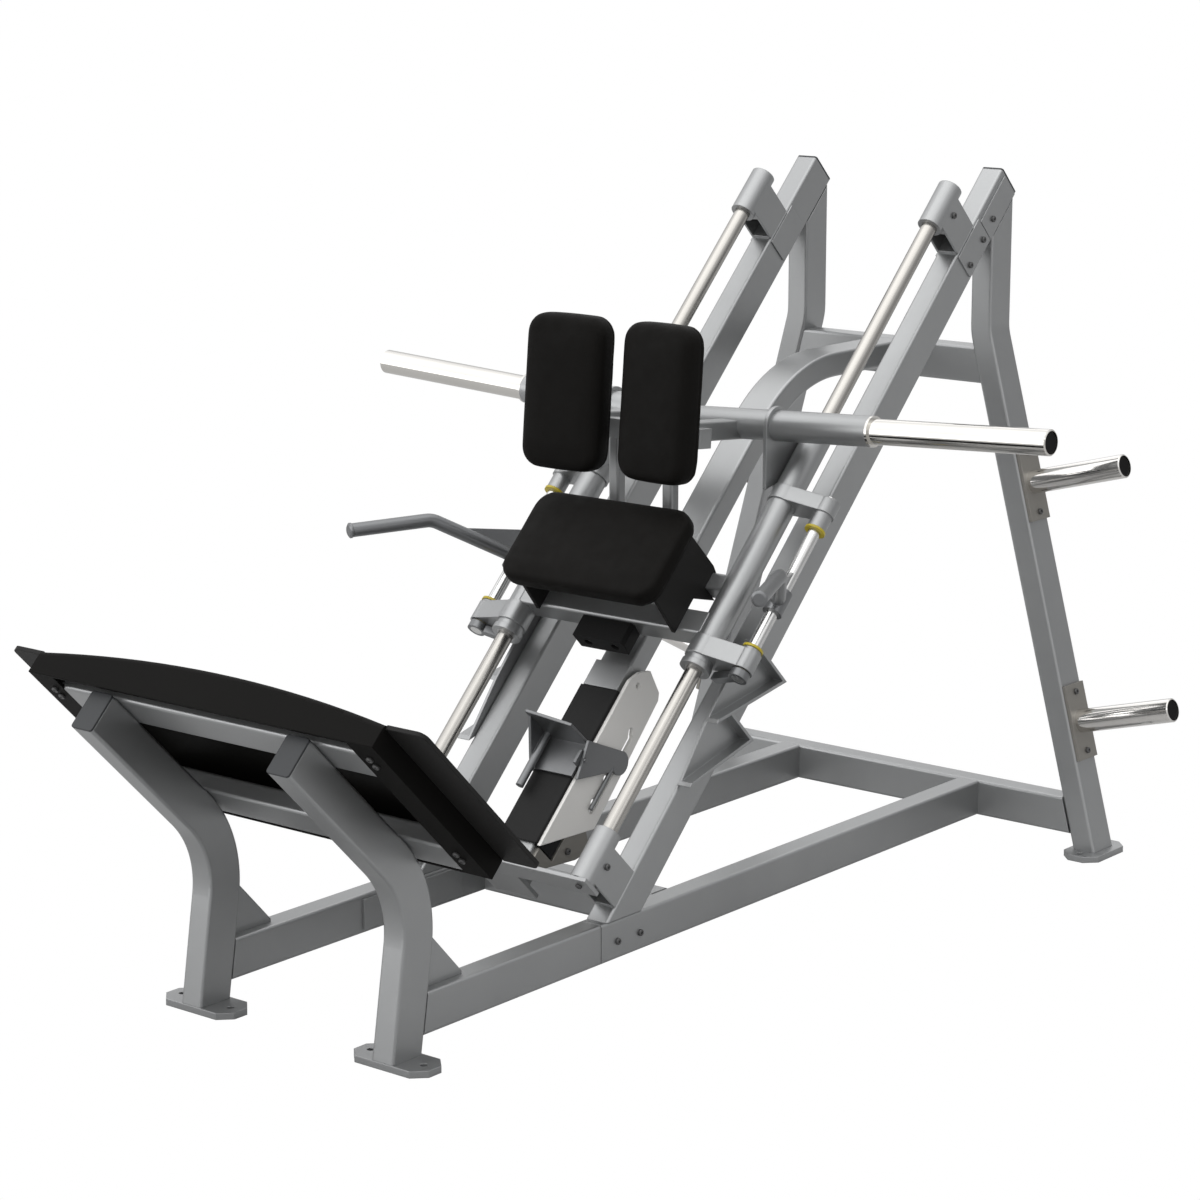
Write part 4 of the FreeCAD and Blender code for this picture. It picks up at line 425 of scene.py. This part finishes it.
finishedNodes = {
    "framePaint": """front_leg_left front_leg_right base_front_sections base_rail_left base_rail_right
        front_cross_tube upright_left upright_right rear_crossbeam upper_cross_member floor_plates
        incline_rail_left incline_rail_right joint_plates spine_tube rod_sockets rod_holders anchor_plates
        catch_bracket_left catch_bracket_right platform_cross_tubes sleeve_left sleeve_right horn_cross_tube
        carriage_gussets back_frame back_struts seat_cross_tubes column_collar lock_blocks""",
    "slidePaint": """stop_slider stop_lever lock_handle_left lock_handle_right lock_pawl_left
        lock_pawl_right""",
    "capPlastic": "tube_end_caps",
    "platePaint": "ratchet_plate",
    "warmPaint": "storage_brackets stop_anchor",
    "blackPaint": "foot_platform",
    "litBlackFoldPaint": "platform_wings seat_brackets",
    "blackPlastic": "storage_horn_plugs weight_horn_plugs",
    "coverPlastic": "column_cover",
    "rubber": "bumper",
    "yellowPlastic": "lock_bushes",
    "rodChrome": "guide_rod_left guide_rod_right",
    "hornChrome": "weight_horns",
    "storageChrome": "storage_horns",
    "shaftSteel": "lock_shaft_left lock_shaft_right",
    "bushSteel": "rod_bushes",
    "darkSteel": "frame_bolts carriage_bolts",
    "vinyl": "back_pad_left back_pad_right seat_pad",
}
for finish, names in finishedNodes.items():
    for name in names.split():
        piece = bpy.data.objects[name]
        piece.data.materials.clear()
        piece.data.materials.append(finishes[finish])
print("materials given")


def freshMesh(piece):
    graph = bpy.context.evaluated_depsgraph_get()
    return bpy.data.meshes.new_from_object(piece.evaluated_get(graph))


def swapMesh(piece, mesh):
    piece.modifiers.clear()
    piece.data = mesh


def readVertices(mesh):
    flat = np.empty(len(mesh.vertices) * 3)
    mesh.vertices.foreach_get("co", flat)
    return flat.reshape(-1, 3)


def writeVertices(mesh, places):
    mesh.vertices.foreach_set("co", places.ravel())
    mesh.update()


def readNormals(mesh):
    flat = np.empty(len(mesh.vertices) * 3)
    mesh.vertex_normals.foreach_get("vector", flat)
    return flat.reshape(-1, 3)


# each point's value moves towards the mean of its neighbours
def evenOut(mesh, values, rounds):
    pairs = np.empty(len(mesh.edges) * 2, dtype=int)
    mesh.edges.foreach_get("vertices", pairs)
    pairs = pairs.reshape(-1, 2)
    count = np.bincount(pairs.ravel(), minlength=len(values)).reshape(-1, 1)
    for _ in range(rounds):
        total = np.zeros_like(values)
        np.add.at(total, pairs[:, 0], values[pairs[:, 1]])
        np.add.at(total, pairs[:, 1], values[pairs[:, 0]])
        values = (values + total / count) / 2
    return values


# a stuffed cushion grown from its CAD solid: shrunk, blown up by cloth pressure, capped, evened,
# fitted back to the solid's extents, then seamed
def makeCushion(facts):
    node = bpy.data.objects[facts["node"]]
    solid = readVertices(node.data)
    piece = bpy.data.objects.new(facts["name"], node.data.copy())
    scene.collection.objects.link(piece)
    remesh = piece.modifiers.new("remesh", "REMESH")
    remesh.mode = "VOXEL"
    remesh.voxel_size = facts["voxel"]
    swapMesh(piece, freshMesh(piece))
    face = Vector(facts["face"]).normalized()
    wide = Vector(facts["wide"]).normalized()
    tall = face.cross(wide)
    axes = np.array([wide, tall, face])
    mesh = piece.data
    outward = readNormals(mesh)
    start = evenOut(mesh, readVertices(mesh), facts["smoothing"]) - outward * facts["shrink"]
    writeVertices(mesh, start)
    swell = np.zeros((len(start), 1))
    depth = start @ axes[2]
    held = piece.vertex_groups.new(name="held")
    onBoard = np.nonzero(depth < depth.min() + facts["board"])[0]
    held.add([int(number) for number in onBoard], 1.0, "REPLACE")
    cloth = piece.modifiers.new("cloth", "CLOTH")
    cloth.settings.quality = facts["quality"]
    cloth.settings.vertex_group_mass = "held"
    cloth.settings.use_pressure = True
    cloth.settings.uniform_pressure_force = facts["pressure"]
    cloth.settings.effector_weights.gravity = 0
    cloth.point_cache.frame_start = 1
    cloth.point_cache.frame_end = facts["steps"]
    for frameNumber in range(1, facts["steps"] + 1):
        scene.frame_set(frameNumber)
    grown = freshMesh(piece)
    step = readVertices(grown) - start
    swell = np.clip((step * outward).sum(axis=1, keepdims=True), 0.0, facts["cap"])
    piece.modifiers.clear()
    scene.frame_set(1)
    places = start + outward * evenOut(mesh, swell, facts["evening"])
    inAxes = places @ axes.T
    target = solid @ axes.T
    low, high = inAxes.min(axis=0), inAxes.max(axis=0)
    fitted = (inAxes - low) / (high - low) * (np.ptp(target, axis=0) - 2 * facts["clear"])
    fitted += target.min(axis=0) + facts["clear"]
    writeVertices(mesh, fitted @ axes)
    finer = piece.modifiers.new("finer", "SUBSURF")
    finer.levels = 1
    finer.render_levels = 1
    swapMesh(piece, freshMesh(piece))
    # a sewn seam: the cover is pulled in along a line round the sides
    places = readVertices(piece.data)
    depth = places @ axes[2]
    for line in facts["seams"]:
        away = (depth.max() - line - depth) / facts["seamWidth"]
        places -= readNormals(piece.data) * (facts["seamDepth"] * np.exp(-away * away)).reshape(-1, 1)
    writeVertices(piece.data, places)
    for polygon in piece.data.polygons:
        polygon.use_smooth = True
    piece.data.materials.clear()
    piece.data.materials.append(finishes["vinyl"])
    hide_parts(facts["node"])
    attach(piece, "carriage")
    return piece


scene = bpy.context.scene
cushionFacts = {"voxel": 0.006, "smoothing": 2, "shrink": 0.003, "pressure": 4.0, "quality": 4, "steps": 20,
                "evening": 25, "clear": 0.0008, "seamWidth": 0.0022, "seamDepth": 0.0012, "fill": 0.9}
backFacts = {**cushionFacts, "board": 0.012, "cap": 0.006, "seams": (0.046,)}
seatFacts = {**cushionFacts, "board": 0.010, "cap": 0.007, "seams": (0.040,)}
backTilt = math.radians(5.2)  # the back pads lean back
backTurn = math.radians(7.0)  # and turn a little towards each other
for name, side in (("left", -1), ("right", 1)):
    forward = (-side * math.sin(backTurn), -math.cos(backTurn) * math.cos(backTilt),
               math.cos(backTurn) * math.sin(backTilt))
    sideways = (math.cos(backTurn), -side * math.sin(backTurn), 0.0)
    makeCushion({"name": f"back_cushion_{name}", "node": f"back_pad_{name}",
                 "face": forward, "wide": sideways, **backFacts})
makeCushion({"name": "seat_cushion", "node": "seat_pad", "face": (0, -1, 1), "wide": (1, 0, 0), **seatFacts})
print("cushions made")

# room: a pale floor and backdrop that the camera sees as white, soft studio lights
roomFacts = {
    "floorColour": (0.41, 0.41, 0.41, 1.0), "floorRoughness": 0.75, "floorSize": 40,
    "brightSide": (-0.55, -0.83, 0.0), "darkSideStrength": 1.35, "brightSideStrength": 3.10,
    "bottomGlow": 0.12, "glows": ((0.46, 0.28), (0.52, 0.34), (0.66, 0.35), (0.80, 0.58)), "topGlow": 0.84,
}
floorMaterial = bpy.data.materials.new("floorMaterial")
floorMaterial.use_nodes = True
floorTree = floorMaterial.node_tree
floorShader = floorTree.nodes["Principled BSDF"]
floorShader.inputs["Roughness"].default_value = roomFacts["floorRoughness"]
floorShader.inputs["Base Color"].default_value = roomFacts["floorColour"]
whiteGlow = addNode(floorTree, "ShaderNodeEmission", values={"Color": (1, 1, 1, 1), "Strength": 1.0})
seen = addNode(floorTree, "ShaderNodeLightPath")
floorMix = addNode(floorTree, "ShaderNodeMixShader")
join(floorTree, seen.outputs["Is Camera Ray"], floorMix.inputs["Fac"])
join(floorTree, floorShader.outputs["BSDF"], floorMix.inputs[1])
join(floorTree, whiteGlow.outputs["Emission"], floorMix.inputs[2])
join(floorTree, floorMix.outputs["Shader"], floorTree.nodes["Material Output"].inputs["Surface"])
bpy.ops.mesh.primitive_plane_add(size=roomFacts["floorSize"], location=(0, 0, 0))
floor = bpy.context.object
floor.name = "floor"
floor.data.materials.append(floorMaterial)

world = bpy.data.worlds.new("studio")
scene.world = world
world.use_nodes = True
worldTree = world.node_tree
background = worldTree.nodes["Background"]
# a bright ceiling, a light wall in front and to the left, darker walls behind and to the right
looking = addNode(worldTree, "ShaderNodeTexCoord")
towards = addNode(worldTree, "ShaderNodeSeparateXYZ")
upward = addNode(worldTree, "ShaderNodeValToRGB")
upward.color_ramp.interpolation = "EASE"
rungs = upward.color_ramp.elements
rungs[0].position, rungs[0].color = 0.0, (*[roomFacts["bottomGlow"]] * 3, 1.0)
rungs[1].position, rungs[1].color = 1.0, (*[roomFacts["topGlow"]] * 3, 1.0)
for height, glow in roomFacts["glows"]:
    rung = rungs.new(height)
    rung.color = (glow, glow, glow * 1.01, 1.0)
raised = addNode(worldTree, "ShaderNodeMapRange", values={"From Min": -1.0, "From Max": 1.0})
frontLeft = addNode(worldTree, "ShaderNodeVectorMath", {"operation": "DOT_PRODUCT"})
frontLeft.inputs[1].default_value = roomFacts["brightSide"]
sided = addNode(worldTree, "ShaderNodeMapRange", values={
    "From Min": -1.0, "From Max": 1.0, "To Min": roomFacts["darkSideStrength"],
    "To Max": roomFacts["brightSideStrength"]})
join(worldTree, looking.outputs["Generated"], towards.inputs["Vector"])
join(worldTree, towards.outputs["Z"], raised.inputs["Value"])
join(worldTree, raised.outputs["Result"], upward.inputs["Fac"])
join(worldTree, upward.outputs["Color"], background.inputs["Color"])
join(worldTree, looking.outputs["Generated"], frontLeft.inputs[0])
join(worldTree, frontLeft.outputs["Value"], sided.inputs["Value"])
join(worldTree, sided.outputs["Result"], background.inputs["Strength"])
backdrop = addNode(worldTree, "ShaderNodeBackground", values={"Color": (1, 1, 1, 1), "Strength": 1.0})
worldSeen = addNode(worldTree, "ShaderNodeLightPath")
worldMix = addNode(worldTree, "ShaderNodeMixShader")
join(worldTree, worldSeen.outputs["Is Camera Ray"], worldMix.inputs["Fac"])
join(worldTree, background.outputs["Background"], worldMix.inputs[1])
join(worldTree, backdrop.outputs["Background"], worldMix.inputs[2])
join(worldTree, worldMix.outputs["Shader"], worldTree.nodes["World Output"].inputs["Surface"])


def softLight(name, place, aim, width, height, power):
    lamp = bpy.data.lights.new(name, "AREA")
    lamp.shape = "RECTANGLE"
    lamp.size = width
    lamp.size_y = height
    lamp.energy = power
    item = bpy.data.objects.new(name, lamp)
    scene.collection.objects.link(item)
    item.location = place
    item.rotation_euler = (Vector(aim) - Vector(place)).to_track_quat("-Z", "Y").to_euler()
    return item


softLights = {  # place, aim, width, height, power
    "keyLight": ((-3.2, -4.8, 2.4), (0, 0, 0.6), 4.5, 3.0, 20),
    "topLight": ((0.2, 0.2, 5.0), (0, 0, 0), 4.5, 4.5, 30),
    "sideLight": ((5.2, -0.6, 2.4), (0, 0, 0.6), 2.4, 3.0, 15),
    "backLight": ((-2.4, 4.8, 3.4), (0, 0, 0.8), 3.0, 3.0, 15),
}
for name, facts in softLights.items():
    softLight(name, *facts)
fillFacts = {"strength": 0.5, "angle": 50, "direction": (0.62, 0.77, -0.05)}
fill = bpy.data.lights.new("fillLight", "SUN")
fill.energy = fillFacts["strength"]
fill.angle = math.radians(fillFacts["angle"])
fill.use_shadow = False
fillItem = bpy.data.objects.new("fillLight", fill)
scene.collection.objects.link(fillItem)
fillItem.rotation_euler = Vector(fillFacts["direction"]).to_track_quat("-Z", "Y").to_euler()
print("lights placed")

# camera: a long lens, three-quarter view from the foot platform's end
cameraFacts = {"lens": 98.588, "yaw": 38.98, "pitch": 12.41, "place": (3.89265, -4.784623, 2.00656)}
lens = bpy.data.cameras.new("camera")
lens.sensor_width = 36.0
lens.lens = cameraFacts["lens"]
camera = bpy.data.objects.new("camera", lens)
scene.collection.objects.link(camera)
camera.rotation_euler = (math.radians(90 - cameraFacts["pitch"]), 0, math.radians(cameraFacts["yaw"]))
camera.location = cameraFacts["place"]
scene.camera = camera
scene.view_settings.view_transform = "Standard"
print("camera placed")
